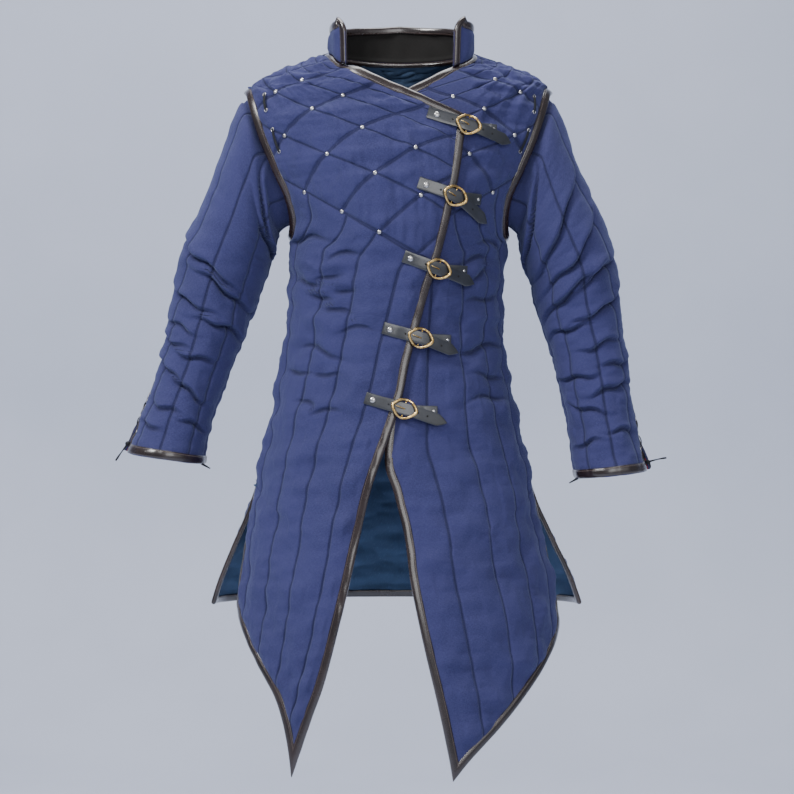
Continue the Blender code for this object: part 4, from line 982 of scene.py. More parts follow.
def rgba(colour: Colour, gain: float = 1.0) -> tuple[float, float, float, float]:
    """A colour made lighter or darker, with its alpha."""
    return colour[0] * gain, colour[1] * gain, colour[2] * gain, 1.0


@dataclass(frozen=True)
class Canvas:
    """Navy cotton canvas, quilted with a thread of its own colour."""

    colour: Colour = (0.0305, 0.0330, 0.1130)
    thread: float = 0.0009
    stitch: float = 0.0036
    line: float = 0.0007
    lint: Colour = (0.10, 0.13, 0.25)

    def make(self) -> bpy.types.Material:
        """The material, which reads the maps Weave, Channel, Quilt, Border and Crease, and paints
        shade into the quilting grooves and the creases.
        """
        b = Bench("navy_canvas")
        weave, across, down = b.uv("Weave")
        _, number, pitch = b.uv("Channel")
        _, diagonal, row = b.uv("Quilt")
        _, border, _ = b.uv("Border")
        _, off, strength = b.uv("Crease")
        place = b.place()
        above = b.calc("LESS_THAN", border, 0.0)
        far = b.times(b.calc("PINGPONG", number, 0.5), pitch)
        by_row = b.times(b.calc("PINGPONG", row, 0.5), ROW_LENGTH)
        by_diagonal = b.times(b.calc("PINGPONG", diagonal, 0.5), DIAGONAL_LENGTH)
        in_yoke = b.calc("MINIMUM", by_row, by_diagonal)
        to_line = b.plus(b.times(above, in_yoke), b.times(b.minus(1.0, above), far))
        to_line = b.calc("MINIMUM", to_line, b.calc("ABSOLUTE", border))
        shaky = b.minus(b.noise(place, 60.0, 2.0), 0.5)
        wander = b.times(shaky, 0.0008)
        # the fold lines from the Crease map: grooved by bump and darkened as painted shade
        off = b.calc("ABSOLUTE", b.plus(off, b.times(shaky, 0.0030)))
        crease = b.times(b.step(off, 0.0002, 0.0052, 1.0, 0.0),
                         b.step(strength, 0.15, 0.95, 0.0, 0.9))
        to_line = b.plus(to_line, wander)
        run = b.plus(across, down)
        dash = b.step(b.calc("PINGPONG", b.calc("DIVIDE", run, self.stitch), 0.5), 0.08, 0.22)
        # the quilting lines, sunk by bump and darkened as painted shade
        groove_and_painted_shade = b.step(to_line, self.line, self.line * 4.2, 1.0, 0.0)
        seam = b.step(to_line, self.line * 0.6, self.line * 1.6, 1.0, 0.0)
        thread = b.times(seam, dash)
        warp = b.calc("SINE", b.times(across, 2 * math.pi / self.thread))
        weft = b.calc("SINE", b.times(down, 2 * math.pi / self.thread))
        cloth = b.times(warp, weft)
        slubs = b.noise(b.stretch(weave, (900.0, 260.0, 1.0)), 1.0, 3.0, 0.7)
        cross_slubs = b.noise(b.stretch(weave, (240.0, 900.0, 1.0)), 1.0, 3.0, 0.7)
        grain = b.plus(slubs, cross_slubs)
        patches = b.noise(place, 7.0, 5.0, 0.6)
        lint = b.step(b.noise(place, 420.0, 2.0), 0.66, 0.78)
        colour = b.mix(b.step(patches, 0.30, 0.72), rgba(self.colour, 0.88),
                       rgba((self.colour[0] * 1.06, self.colour[1] * 1.03, self.colour[2]), 1.12))
        slub = rgba((self.colour[0] * 1.25, self.colour[1] * 1.2, self.colour[2]), 1.30)
        colour = b.painted(colour, (b.step(grain, 0.80, 1.25), slub),
                           (b.times(lint, 0.22), rgba(self.lint)),
                           # painted shade: the creases darkened to a fifth of the canvas colour
                           (b.times(crease, 0.60), rgba(self.colour, 0.20)),
                           # painted shade: the quilting grooves darkened to a quarter of the
                           # canvas colour
                           (b.times(groove_and_painted_shade, 0.46), rgba(self.colour, 0.24)),
                           (b.times(thread, 0.65), rgba(self.colour, 0.62)))
        pull = b.step(to_line, 0.0, 0.0055, 1.0, 0.0)
        height = b.layers((cloth, 0.00006), (grain, 0.00022), (groove_and_painted_shade, -0.00120),
                          (pull, -0.00070), (crease, -0.00300), (thread, 0.00035),
                          (b.noise(place, 95.0, 4.0), 0.00070))
        rough = b.step(patches, 0.2, 0.8, 0.80, 0.92)
        return b.finish(colour, rough, b.bump(height, 1.0), Sheen_Weight=0.22,
                        Sheen_Roughness=0.45, Sheen_Tint=(0.42, 0.50, 0.80, 1.0),
                        Specular_IOR_Level=0.22)


@dataclass(frozen=True)
class Lining:
    """Plain woven cotton inside the garment."""

    name: str
    colour: Colour
    threads: float = 5200.0

    def make(self) -> bpy.types.Material:
        """The material, which reads the map Weave."""
        b = Bench(self.name)
        weave, across, down = b.uv("Weave")
        warp, weft = (b.calc("SINE", b.times(way, self.threads)) for way in (across, down))
        slubs = b.noise(b.stretch(weave, (500.0, 160.0, 1.0)), 1.0, 3.0, 0.7)
        patches = b.noise(b.place(), 9.0, 4.0)
        colour = b.mix(b.step(patches, 0.3, 0.7), rgba(self.colour, 0.86), rgba(self.colour, 1.1))
        colour = b.mix(b.step(slubs, 0.5, 0.75), colour, rgba(self.colour, 1.3))
        height = b.layers((b.times(warp, weft), 0.00005), (slubs, 0.00020))
        return b.finish(colour, b.step(patches, 0.2, 0.8, 0.80, 0.92), b.bump(height, 1.0),
                        Specular_IOR_Level=0.25)


@dataclass(frozen=True)
class Leather:
    """Finished leather with grain, edges painted lighter as wear and as painted highlight, and a
    row of stitches beside its edge.
    """

    name: str
    colour: Colour
    # lighter colour for wear, scuffs and stitches, and for the painted highlight along the edge
    worn_and_lit: Colour
    gloss: float
    stitched: float
    edge: float
    stitch: float = 0.0034

    def make(self) -> bpy.types.Material:
        """The material, which reads the map Strip: metres across and along."""
        b = Bench(self.name)
        _, across, along = b.uv("Strip")
        place = b.place()
        cells = b.add("ShaderNodeTexVoronoi", {"Vector": place, "Scale": 620.0},
                      feature="DISTANCE_TO_EDGE").outputs[0]
        creases = b.noise(place, 70.0, 5.0, 0.65)
        patches = b.noise(place, 22.0, 5.0, 0.6)
        scuffs = b.step(b.noise(place, 130.0, 5.0, 0.7), 0.60, 0.76)
        near = b.step(across, 0.0, self.edge, 1.0, 0.0)
        colour = b.mix(b.step(patches, 0.32, 0.70), rgba(self.colour, 0.75),
                       rgba(self.colour, 1.35))
        # partly wear, partly painted highlight: the band along the folded edge painted lighter
        edge_wear_and_highlight = b.times(near, b.step(patches, 0.35, 0.6, 0.10, 0.45))
        to_stitch = b.calc("ABSOLUTE", b.minus(across, self.stitched))
        row = b.step(to_stitch, 0.0003, 0.0008, 1.0, 0.0)
        dash = b.step(b.calc("PINGPONG", b.calc("DIVIDE", along, self.stitch), 0.5), 0.07, 0.16)
        stitches = b.times(row, dash)
        trough = b.step(to_stitch, 0.0004, 0.0016, 1.0, 0.0)
        colour = b.painted(colour, (edge_wear_and_highlight, rgba(self.worn_and_lit)),
                           (b.times(scuffs, 0.12), rgba(self.worn_and_lit)),
                           (b.times(stitches, 0.75), rgba(self.worn_and_lit, 1.5)))
        height = b.layers((b.step(cells, 0.0, 0.35), 0.00005), (creases, 0.00016),
                          (trough, -0.00035), (stitches, 0.00045))
        rough = b.step(patches, 0.25, 0.75, self.gloss - 0.03, self.gloss + 0.06)
        rough = b.plus(rough, b.times(scuffs, 0.12))
        return b.finish(colour, rough, b.bump(height, 1.0), Specular_IOR_Level=0.60,
                        Coat_Weight=0.60, Coat_Roughness=0.16)


@dataclass(frozen=True)
class Metal:
    """Polished cast or stamped metal with tarnish in its hollows and fine scratches."""

    name: str
    colour: Colour
    tarnish: Colour
    roughness: float

    def make(self) -> bpy.types.Material:
        """The material."""
        b = Bench(self.name)
        place = b.place()
        patches = b.noise(place, 160.0, 5.0, 0.6)
        scratches = b.noise(b.stretch(place, (300.0, 2600.0, 900.0)), 1.0, 2.0)
        colour = b.mix(b.step(patches, 0.46, 0.72), rgba(self.colour), rgba(self.tarnish))
        rough = b.step(patches, 0.35, 0.75, self.roughness, self.roughness + 0.25)
        height = b.layers((patches, 0.00002), (scratches, 0.000006))
        return b.finish(colour, rough, b.bump(height, 1.0), Metallic=1.0)


@dataclass(frozen=True)
class Cord:
    """Dark braided lace."""

    name: str = "lace_cord"
    colour: Colour = (0.008, 0.009, 0.012)

    def make(self) -> bpy.types.Material:
        """The material, which reads the map Strip."""
        b = Bench(self.name)
        _, across, along = b.uv("Strip")
        lay, slant = b.times(along, 3200.0), b.times(across, 900.0)
        braid = b.times(b.calc("SINE", b.plus(lay, slant)), b.calc("SINE", b.minus(lay, slant)))
        # painted highlight and shade: the braid lighter where it stands high, darker where it lies
        # low
        colour = b.mix(b.step(braid, -0.8, 0.8), rgba(self.colour, 0.6), rgba(self.colour, 2.2))
        height = b.times(braid, 0.00018)
        return b.finish(colour, 0.72, b.bump(height, 1.0), Specular_IOR_Level=0.3)


@dataclass
class Finishes:
    """Every material of the garment."""

    canvas: bpy.types.Material
    lining: bpy.types.Material
    sleeve_lining: bpy.types.Material
    binding: bpy.types.Material
    strap: bpy.types.Material
    brass: bpy.types.Material
    nickel: bpy.types.Material
    cord: bpy.types.Material
    # near-black painted shade, for the punched holes and the collar's inner face
    hole: bpy.types.Material


def make_finishes() -> Finishes:
    """Mix every finish."""
    # painted shade: near black for the punched holes and the collar's inner face
    hole = Bench("punched_hole")
    dark = hole.mix(hole.noise(hole.place(), 300.0), (0.002, 0.002, 0.002, 1.0),
                    (0.010, 0.008, 0.007, 1.0))
    return Finishes(
        canvas=Canvas().make(),
        # partly painted shade: the lining's blue is darkened to stand for the shade inside the
        # garment
        lining=Lining("blue_lining", (0.050, 0.088, 0.165)).make(),
        sleeve_lining=Lining("red_lining", (0.28, 0.012, 0.016)).make(),
        binding=Leather("binding_leather", (0.0165, 0.0092, 0.0084), (0.072, 0.050, 0.045),
                        0.24, BINDING_WIDTH - 0.0024, 0.0022).make(),
        strap=Leather("strap_leather", (0.015, 0.017, 0.022), (0.060, 0.064, 0.074),
                      0.34, -1.0, 0.0012).make(),
        brass=Metal("brass", (0.72, 0.50, 0.20), (0.30, 0.18, 0.06), 0.20).make(),
        nickel=Metal("steel", (0.62, 0.61, 0.60), (0.25, 0.22, 0.20), 0.20).make(),
        cord=Cord().make(),
        hole=hole.finish(dark, 0.9),
    )


def patch(top: Array, right: Array, bottom: Array, left: Array, shares: Array) -> Array:
    """Fill four edges with a grid.

    Args:
        top: its first row.
        right: its last column.
        bottom: its last row.
        left: its first column.
        shares: the columns' shares of the width.

    Returns:
        (turn, drop) by row and column.
    """
    down = np.linspace(0, 1, len(left))[:, None, None]
    across = shares[None, :, None]
    return ((1 - across) * left[:, None] + across * right[:, None]
            + (1 - down) * top[None] + down * bottom[None]
            - (1 - down) * (1 - across) * top[0] - (1 - down) * across * top[-1]
            - down * (1 - across) * bottom[0] - down * across * bottom[-1])


def column_shares(lines: Sequence[float], columns: int) -> Array:
    """Shares of the width for the mesh's columns, so that each quilting line has one."""
    widths = np.diff(lines)
    counts = np.maximum(2, np.round(widths * columns).astype(int))
    shares = [np.linspace(a, b, n, endpoint=False) for a, b, n in zip(lines, lines[1:], counts)]
    return np.append(np.concatenate(shares), 1.0)


def joined(*curves: Array) -> Array:
    """One line from several that meet end to end."""
    return np.concatenate([np.asarray(curves[0], float)]
                          + [np.asarray(curve, float)[1:] for curve in curves[1:]])


def side_line(seam: float, first_drop: float, slit: Array, rows: Sequence[int]) -> Array:
    """The panel's side: shoulder seam, armhole, side seam and slit.

    Args:
        seam: the seam's turn.
        first_drop: where the seam starts.
        slit: the slit's edge from the top down.
        rows: how many rows each takes.

    Returns:
        (turn, drop) by row.
    """
    arm = armhole(arm_stations(rows[1] + 1), ARM_BINDING_WIDTH * 0.6)
    arm[[0, -1], 0] = seam
    upper = [(seam, drop) for drop in np.linspace(first_drop, arm[0, 1], rows[0] + 1)]
    lower = [(seam, drop) for drop in np.linspace(arm[-1, 1], SLIT_TOP, rows[2] + 1)]
    below = FORM.at_line(slit, np.linspace(0, 1, rows[3] + 1)[1:])
    return np.concatenate([upper[:-1], arm, lower[1:], below])


def rows_at_border(grid: Array, border: Array) -> Array:
    """Slide a grid's rows so that one of them follows the yoke's border.

    Args:
        grid: (turn, drop) by row and column.
        border: the border as (turn, drop) points by rising turn.

    Returns:
        The grid with its rows moved along its columns.
    """
    count = len(grid)
    steps = np.arange(count, dtype=float)
    below = grid[..., 1] - np.interp(grid[..., 0], border[:, 0], border[:, 1])
    crossing = np.array([np.interp(0.0, below[:, c], steps) for c in range(grid.shape[1])])
    row = float(int(np.median(crossing)))
    result = np.empty_like(grid)
    for c, place in enumerate(crossing):
        want = np.interp(steps, (0.0, row, count - 1.0), (0.0, place, count - 1.0))
        for k in (0, 1):
            result[:, c, k] = np.interp(want, steps, grid[:, c, k])
    return result


def calmed(relief: Array, flat: Array, edges: Sequence[Array], from_side: Array,
           back: bool = False) -> Array:
    """Relief laid flat under the bindings and beside the seams.

    Args:
        relief: the cloth's relief.
        flat: its points on the form.
        edges: the bound edges as (turn, drop) lines.
        from_side: metres from the panel's sides.
        back: True on the back's own form.

    Returns:
        The relief, lower near the edges.
    """
    line = np.concatenate([FORM.point(edge[:, 0], edge[:, 1], back) for edge in edges])
    clear = np.array([np.linalg.norm(row[:, None] - line, axis=-1).min(axis=1) for row in flat])
    share = ease(np.minimum(from_side / SEAM_REACH, (clear - STRIP_START) / STRIP_REACH))
    return relief * (LEAST_RELIEF + (1 - LEAST_RELIEF) * share)


def run_across(flat: Array) -> Array:
    """Metres across the panel at each of its places."""
    steps = np.linalg.norm(np.diff(flat, axis=1), axis=-1)
    return np.concatenate([np.zeros((len(flat), 1)), np.cumsum(steps, axis=1)], axis=1)


# Section of a folded strip: share of its width from the edge, and height off the form
PROFILE = ((1.00, 0.0050), (0.995, 0.0060), (0.95, 0.0068), (0.80, 0.0073), (0.55, 0.0076),
           (0.30, 0.0074), (0.14, 0.0068), (0.04, 0.0056), (0.0, 0.0040), (0.0, 0.0022),
           (0.05, 0.0008), (0.16, -0.0002), (0.40, -0.0007), (0.75, -0.0007), (0.97, -0.0005),
           (1.0, 0.0006))


def bind(name: str, outer: Array, inner: Array, normal: Array, top: Array, mat: Any,
         closed: bool = False, uneven: int = 3) -> bpy.types.Object:
    """A strip of leather folded over an edge.

    Args:
        name: the piece's name.
        outer: points along the edge, on the form.
        inner: points beside them, where the strip ends.
        normal: the way off the cloth at each point.
        top: how much lower the upper layer lies at each point.
        mat: its leather.
        closed: True for a ring.
        uneven: fixes its small unevenness.

    Returns:
        The strip.
    """
    side = inner - outer
    run = lengths(outer)
    wave = 0.00035 * ripples(run, run * 0, 0.045, uneven)
    points = []
    for share, height in PROFILE + PROFILE[:1]:
        lift = height + wave - (top if height > 0.004 else 0.0)
        points.append(outer + side * share + normal * lift[:, None])
    grid = np.stack(points, axis=1)
    shares = np.array([share for share, _ in PROFILE + PROFILE[:1]])
    strip = np.stack([shares[None, :] * np.full((len(run), 1), BINDING_WIDTH),
                      run[:, None] + 0 * shares[None, :]], -1)
    if closed:
        grid = np.concatenate([grid, grid[:1]])
        last = strip[-1:] + (0, np.linalg.norm(outer[-1] - outer[0]))
        strip = np.concatenate([strip, last])
    return grid_object(name, grid, {"Strip": strip}, [mat], weld=True, cap=not closed)


@dataclass
class Front:
    """One front: quilted canvas with its lining, and the leather on its edges."""

    side: Side
    neck: Sequence[Point]
    edge: Sequence[Point]
    hem: Sequence[Point]
    slit: Sequence[Point]
    channels: Sequence[float]
    collar_end: float
    folds: Sequence[Fold]
    seed: int
    columns: int = 100
    side_rows: tuple[int, ...] = (36, 84, 96, 64)
    neck_rows: int = 66
    tuck: float = 0.55

    @property
    def word(self) -> str:
        """right or left."""
        return self.side.name.lower()

    def base_lift(self, turn: Array, drop: Array) -> Array:
        """Lift of the inner face."""
        return overlap_rise(turn, drop) if self.side is Side.RIGHT else np.zeros_like(turn)

    def build(self, finishes: Finishes) -> bpy.types.Object:
        """Make the cloth and its binding, and return the cloth."""
        (neck, neck_in), (edge, edge_in), (hem, hem_in), (slit, slit_in) = FORM.bound(
            (self.neck, self.edge, self.hem, self.slit), BINDING_WIDTH)
        pairs = (neck, neck_in), (edge, edge_in), (hem, hem_in), (slit, slit_in)
        cloth = [outer * self.tuck
                 + FORM.at_line(beside, np.linspace(0, 1, len(outer))) * (1 - self.tuck)
                 for outer, beside in pairs]
        cloth[0][0, 0] = cloth[3][-1, 0] = -90.0
        shares = column_shares(self.channels, self.columns)
        rows = sum(self.side_rows)
        corner = int(np.searchsorted(cloth[0][:, 0], self.collar_end))
        left = side_line(-90.0, cloth[0][0, 1], cloth[3][::-1], self.side_rows)
        top = FORM.at_line(cloth[0][:corner + 1], shares)
        right = joined(FORM.at_line(cloth[0][corner:], np.linspace(0, 1, self.neck_rows + 1)),
                       FORM.at_line(cloth[1], np.linspace(0, 1, rows - self.neck_rows + 1)))
        bottom = FORM.at_line(cloth[2][::-1], shares)
        left[-1], right[0], right[-1] = bottom[0], top[-1], bottom[-1]
        grid = patch(top, right, bottom, left, shares)
        grid = rows_at_border(grid, np.asarray(YOKE_DROP, float))
        turn, drop = grid[..., 0], grid[..., 1]
        flat = FORM.point(turn, drop)
        lift = self.cloth_lift(flat, turn, drop, shares, (neck, edge, hem, slit))
        sign = 1 if self.side is Side.RIGHT else -1
        points = FORM.place(turn * sign, drop, lift.relief)
        obj = grid_object("front_%s_canvas" % self.word, points, lift.maps,
                          [finishes.canvas, finishes.lining], outward=(0, -1, 0))
        solidify(obj, CLOTH_WALL, inner=1)
        dress(obj, ["front_" + self.word])
        self.bind_edges((neck, edge, hem, slit), (neck_in, edge_in, hem_in, slit_in), sign,
                        finishes)
        return obj

    def cloth_lift(self, flat: Array, turn: Array, drop: Array, shares: Array,
                   edges: Sequence[Array]) -> Quilted:
        """Lift of the cloth's face and its maps.

        Args:
            flat: its points on the form.
            turn: their turns.
            drop: their drops.
            shares: the columns' shares of the width.
            edges: the bound edges.

        Returns:
            The lift and the maps.
        """
        across = run_across(flat)
        lines = np.asarray(self.channels)
        number = np.interp(shares, lines, np.arange(len(lines)))[None, :] + 0 * turn
        cell = np.clip(number.astype(int), 0, len(lines) - 2)
        pitch = (lines[cell + 1] - lines[cell]) * across[:, -1:]
        border = np.asarray(YOKE_DROP, float)
        below = drop - np.interp(turn, border[:, 0], border[:, 1])
        diagonal, row = diamond_place(turn, drop)
        cloth = quilt(across, drop, number, pitch, Line.YOKE, self.seed, diagonal, row, below)
        cloth.press([fold.relief(turn * TURN_LENGTH, drop) for fold in self.folds])
        from_side = np.minimum(across, across[:, -1:] - across)
        relief = calmed(cloth.relief, flat, edges, from_side)
        if self.side is Side.RIGHT:
            relief = relief * strapped(turn, drop)
        lift = self.base_lift(turn, drop) + STITCH_LIFT + relief
        if self.side is Side.LEFT:
            shown = ease((-turn - over_edge(drop) - 1.0) / 6)
            covered = (drop < 0.74).astype(float)
            shown = 1 - (1 - shown) * covered
            lift = OVERLAP_CLOTH + (lift - OVERLAP_CLOTH) * shown
        return Quilted(lift, cloth.maps)

    def bind_edges(self, edges: Sequence[Array], inner: Sequence[Array], sign: int,
                   finishes: Finishes) -> None:
        """Bind the neck, the front edge, the hem and the slit with one strip.

        Args:
            edges: the edges, end to end.
            inner: the lines beside them.
            sign: -1 turns them to the left side.
            finishes: the materials.
        """
        outer_line, inner_line = [], []
        for edge, beside in zip(edges, inner):
            count = int(lengths(FORM.point(edge[:, 0], edge[:, 1]))[-1] / 0.005)
            shares = np.linspace(0, 1, count)
            outer_line.append(FORM.at_line(edge, shares))
            inner_line.append(FORM.at_line(beside, shares))
        out, beside = joined(*outer_line), joined(*inner_line)
        base = self.base_lift(beside[:, 0], beside[:, 1])
        hidden = np.zeros(len(out))
        if self.side is Side.LEFT:
            under = (-out[:, 0] < over_edge(out[:, 1]) + 2) & (out[:, 1] < 0.76)
            hidden = np.where(under, 0.0012, 0.0)
        normal = FORM.axes(out[:, 0] * sign, out[:, 1])[2]
        obj = bind("binding_front_%s_leather" % self.word,
                   FORM.place(out[:, 0] * sign, out[:, 1], base),
                   FORM.place(beside[:, 0] * sign, beside[:, 1], base), normal, hidden,
                   finishes.binding, uneven=self.seed + 30)
        dress(obj, ["binding_front_" + self.word])


@dataclass
class Back:
    """The back panel, the leather on its slits and hem, and the strip at its neck."""

    folds: Sequence[Fold]
    columns: int = 150
    side_rows: tuple[int, ...] = (36, 64, 72, 56)
    seed: int = 71

    def build(self, finishes: Finishes) -> bpy.types.Object:
        """Make the cloth and its bindings, and return the cloth."""
        near, far = 270.0, 90.0
        slit = [(near, SLIT_TOP), (near, (SLIT_TOP + BACK_HEM) / 2), (near, BACK_HEM)]
        hem = [(near, BACK_HEM), (225, BACK_HEM + 0.004), (180, BACK_HEM + 0.006),
               (135, BACK_HEM + 0.004), (far, BACK_HEM)]
        far_slit = [(360 - turn, drop) for turn, drop in slit[::-1]]
        bound = FORM.bound((slit, hem, far_slit), BINDING_WIDTH, True)
        half = [(edge + FORM.at_line(beside, np.linspace(0, 1, len(edge)), True)) / 2
                for edge, beside in bound]
        shares = column_shares(BACK_CHANNELS, self.columns)
        mirror = np.array((-1, 1))
        left = side_line(-90.0, BINDING_WIDTH * 0.5, half[0] * mirror + (180, 0), self.side_rows)
        left = left * mirror + (180, 0)
        right = left * mirror + (360, 0)
        turns = near + (far - near) * shares
        top = np.stack([turns, np.full_like(turns, BINDING_WIDTH * 0.5)], -1)
        bottom = FORM.at_line(half[1], shares, True)
        left[-1], right[-1] = bottom[0], bottom[-1]
        grid = patch(top, right, bottom, left, shares)
        yoke = np.asarray(BACK_YOKE_DROP, float)
        grid = rows_at_border(grid, yoke)
        turn, drop = grid[..., 0], grid[..., 1]
        flat = FORM.point(turn, drop, True)
        across = run_across(flat)
        number = shares[None, :] * 10 + 0 * turn
        mirrored = -np.abs(180 - turn) * 0.6 - 15
        diagonal, row = diamond_place(mirrored, drop)
        below = drop - np.interp(turn, yoke[:, 0], yoke[:, 1])
        cloth = quilt(across, drop, number, across[:, -1:] / 10, Line.YOKE, self.seed, diagonal,
                      row, below)
        cloth.press([fold.relief((turn - 180) * TURN_LENGTH, drop) for fold in self.folds])
        neck = np.stack([np.linspace(near, far, 160), np.zeros(160)], -1)
        relief = calmed(cloth.relief, flat, [pair[0] for pair in bound] + [neck],
                        np.minimum(across, across[:, -1:] - across), True)
        points = FORM.place(turn, drop, STITCH_LIFT + relief, True)
        obj = grid_object("back_canvas", points, cloth.maps, [finishes.canvas, finishes.lining],
                          outward=(0, 1, 0))
        solidify(obj, CLOTH_WALL, inner=1)
        dress(obj, ["back"])
        self.bind_edges(bound, near, far, finishes)
        return obj

    def bind_edges(self, bound: Sequence[tuple[Array, Array]], near: float, far: float,
                   finishes: Finishes) -> None:
        """Bind the slits and the hem with one strip, and lay one along the neck.

        Args:
            bound: edges with the lines beside them.
            near: turn of the right seam.
            far: turn of the left seam.
            finishes: the materials.
        """
        shares = [np.linspace(0, 1, count) for count in (60, 150, 60)]
        out, beside = [joined(*[FORM.at_line(pair[k], share, True)
                                for pair, share in zip(bound, shares)]) for k in (0, 1)]
        obj = bind("binding_back_leather", FORM.point(out[:, 0], out[:, 1], True),
                   FORM.point(beside[:, 0], beside[:, 1], True),
                   FORM.axes(out[:, 0], out[:, 1], True)[2], np.zeros(len(out)),
                   finishes.binding, uneven=44)
        dress(obj, ["binding_back"])
        turns = np.linspace(near, far, 60)
        obj = bind("binding_neck_back_leather", FORM.point(turns, 0.0, True),
                   FORM.point(turns, BINDING_WIDTH, True), FORM.axes(turns, 0.0, True)[2],
                   np.zeros(60), finishes.binding, uneven=45)
        dress(obj, ["binding_neck_back"])


@dataclass
class ArmholeBinding:
    """The strip round one armhole."""

    side: Side
    stations: int = 150
    reach: float = 0.0050

    def build(self, finishes: Finishes) -> None:
        """Make the ring on the front's form and the back's."""
        half = arm_stations(self.stations // 2 + 1)
        psi = np.concatenate([half, 2 * math.pi - half[::-1][1:-1]])
        ring, wide = armhole(psi), armhole(psi, ARM_BINDING_WIDTH)
        sign = -self.side.value
        rear = np.sin(psi) < -1e-9
        outer, inner, normal = [], [], []
        reach = np.array([self.side.value * self.reach, -0.0010, 0.0])
        for one, two, back in zip(ring, wide, rear):
            outer.append(FORM.point(one[0] * sign, one[1], bool(back)) + reach)
            inner.append(FORM.point(two[0] * sign, two[1], bool(back)))
            normal.append(FORM.axes(one[0] * sign, one[1], bool(back))[2])
        word = self.side.name.lower()
        obj = bind("binding_armhole_%s_leather" % word, np.array(outer), np.array(inner),
                   np.array(normal), np.zeros(len(outer)), finishes.binding, closed=True)
        dress(obj, ["binding_armhole_" + word])


@dataclass(frozen=True)
class SleeveFold:
    """A crease across a sleeve: share of its length, depth, width, where round it, slope."""

    down: float
    depth: float
    width: float
    where: float
    slope: float
    spread: float = 1.0


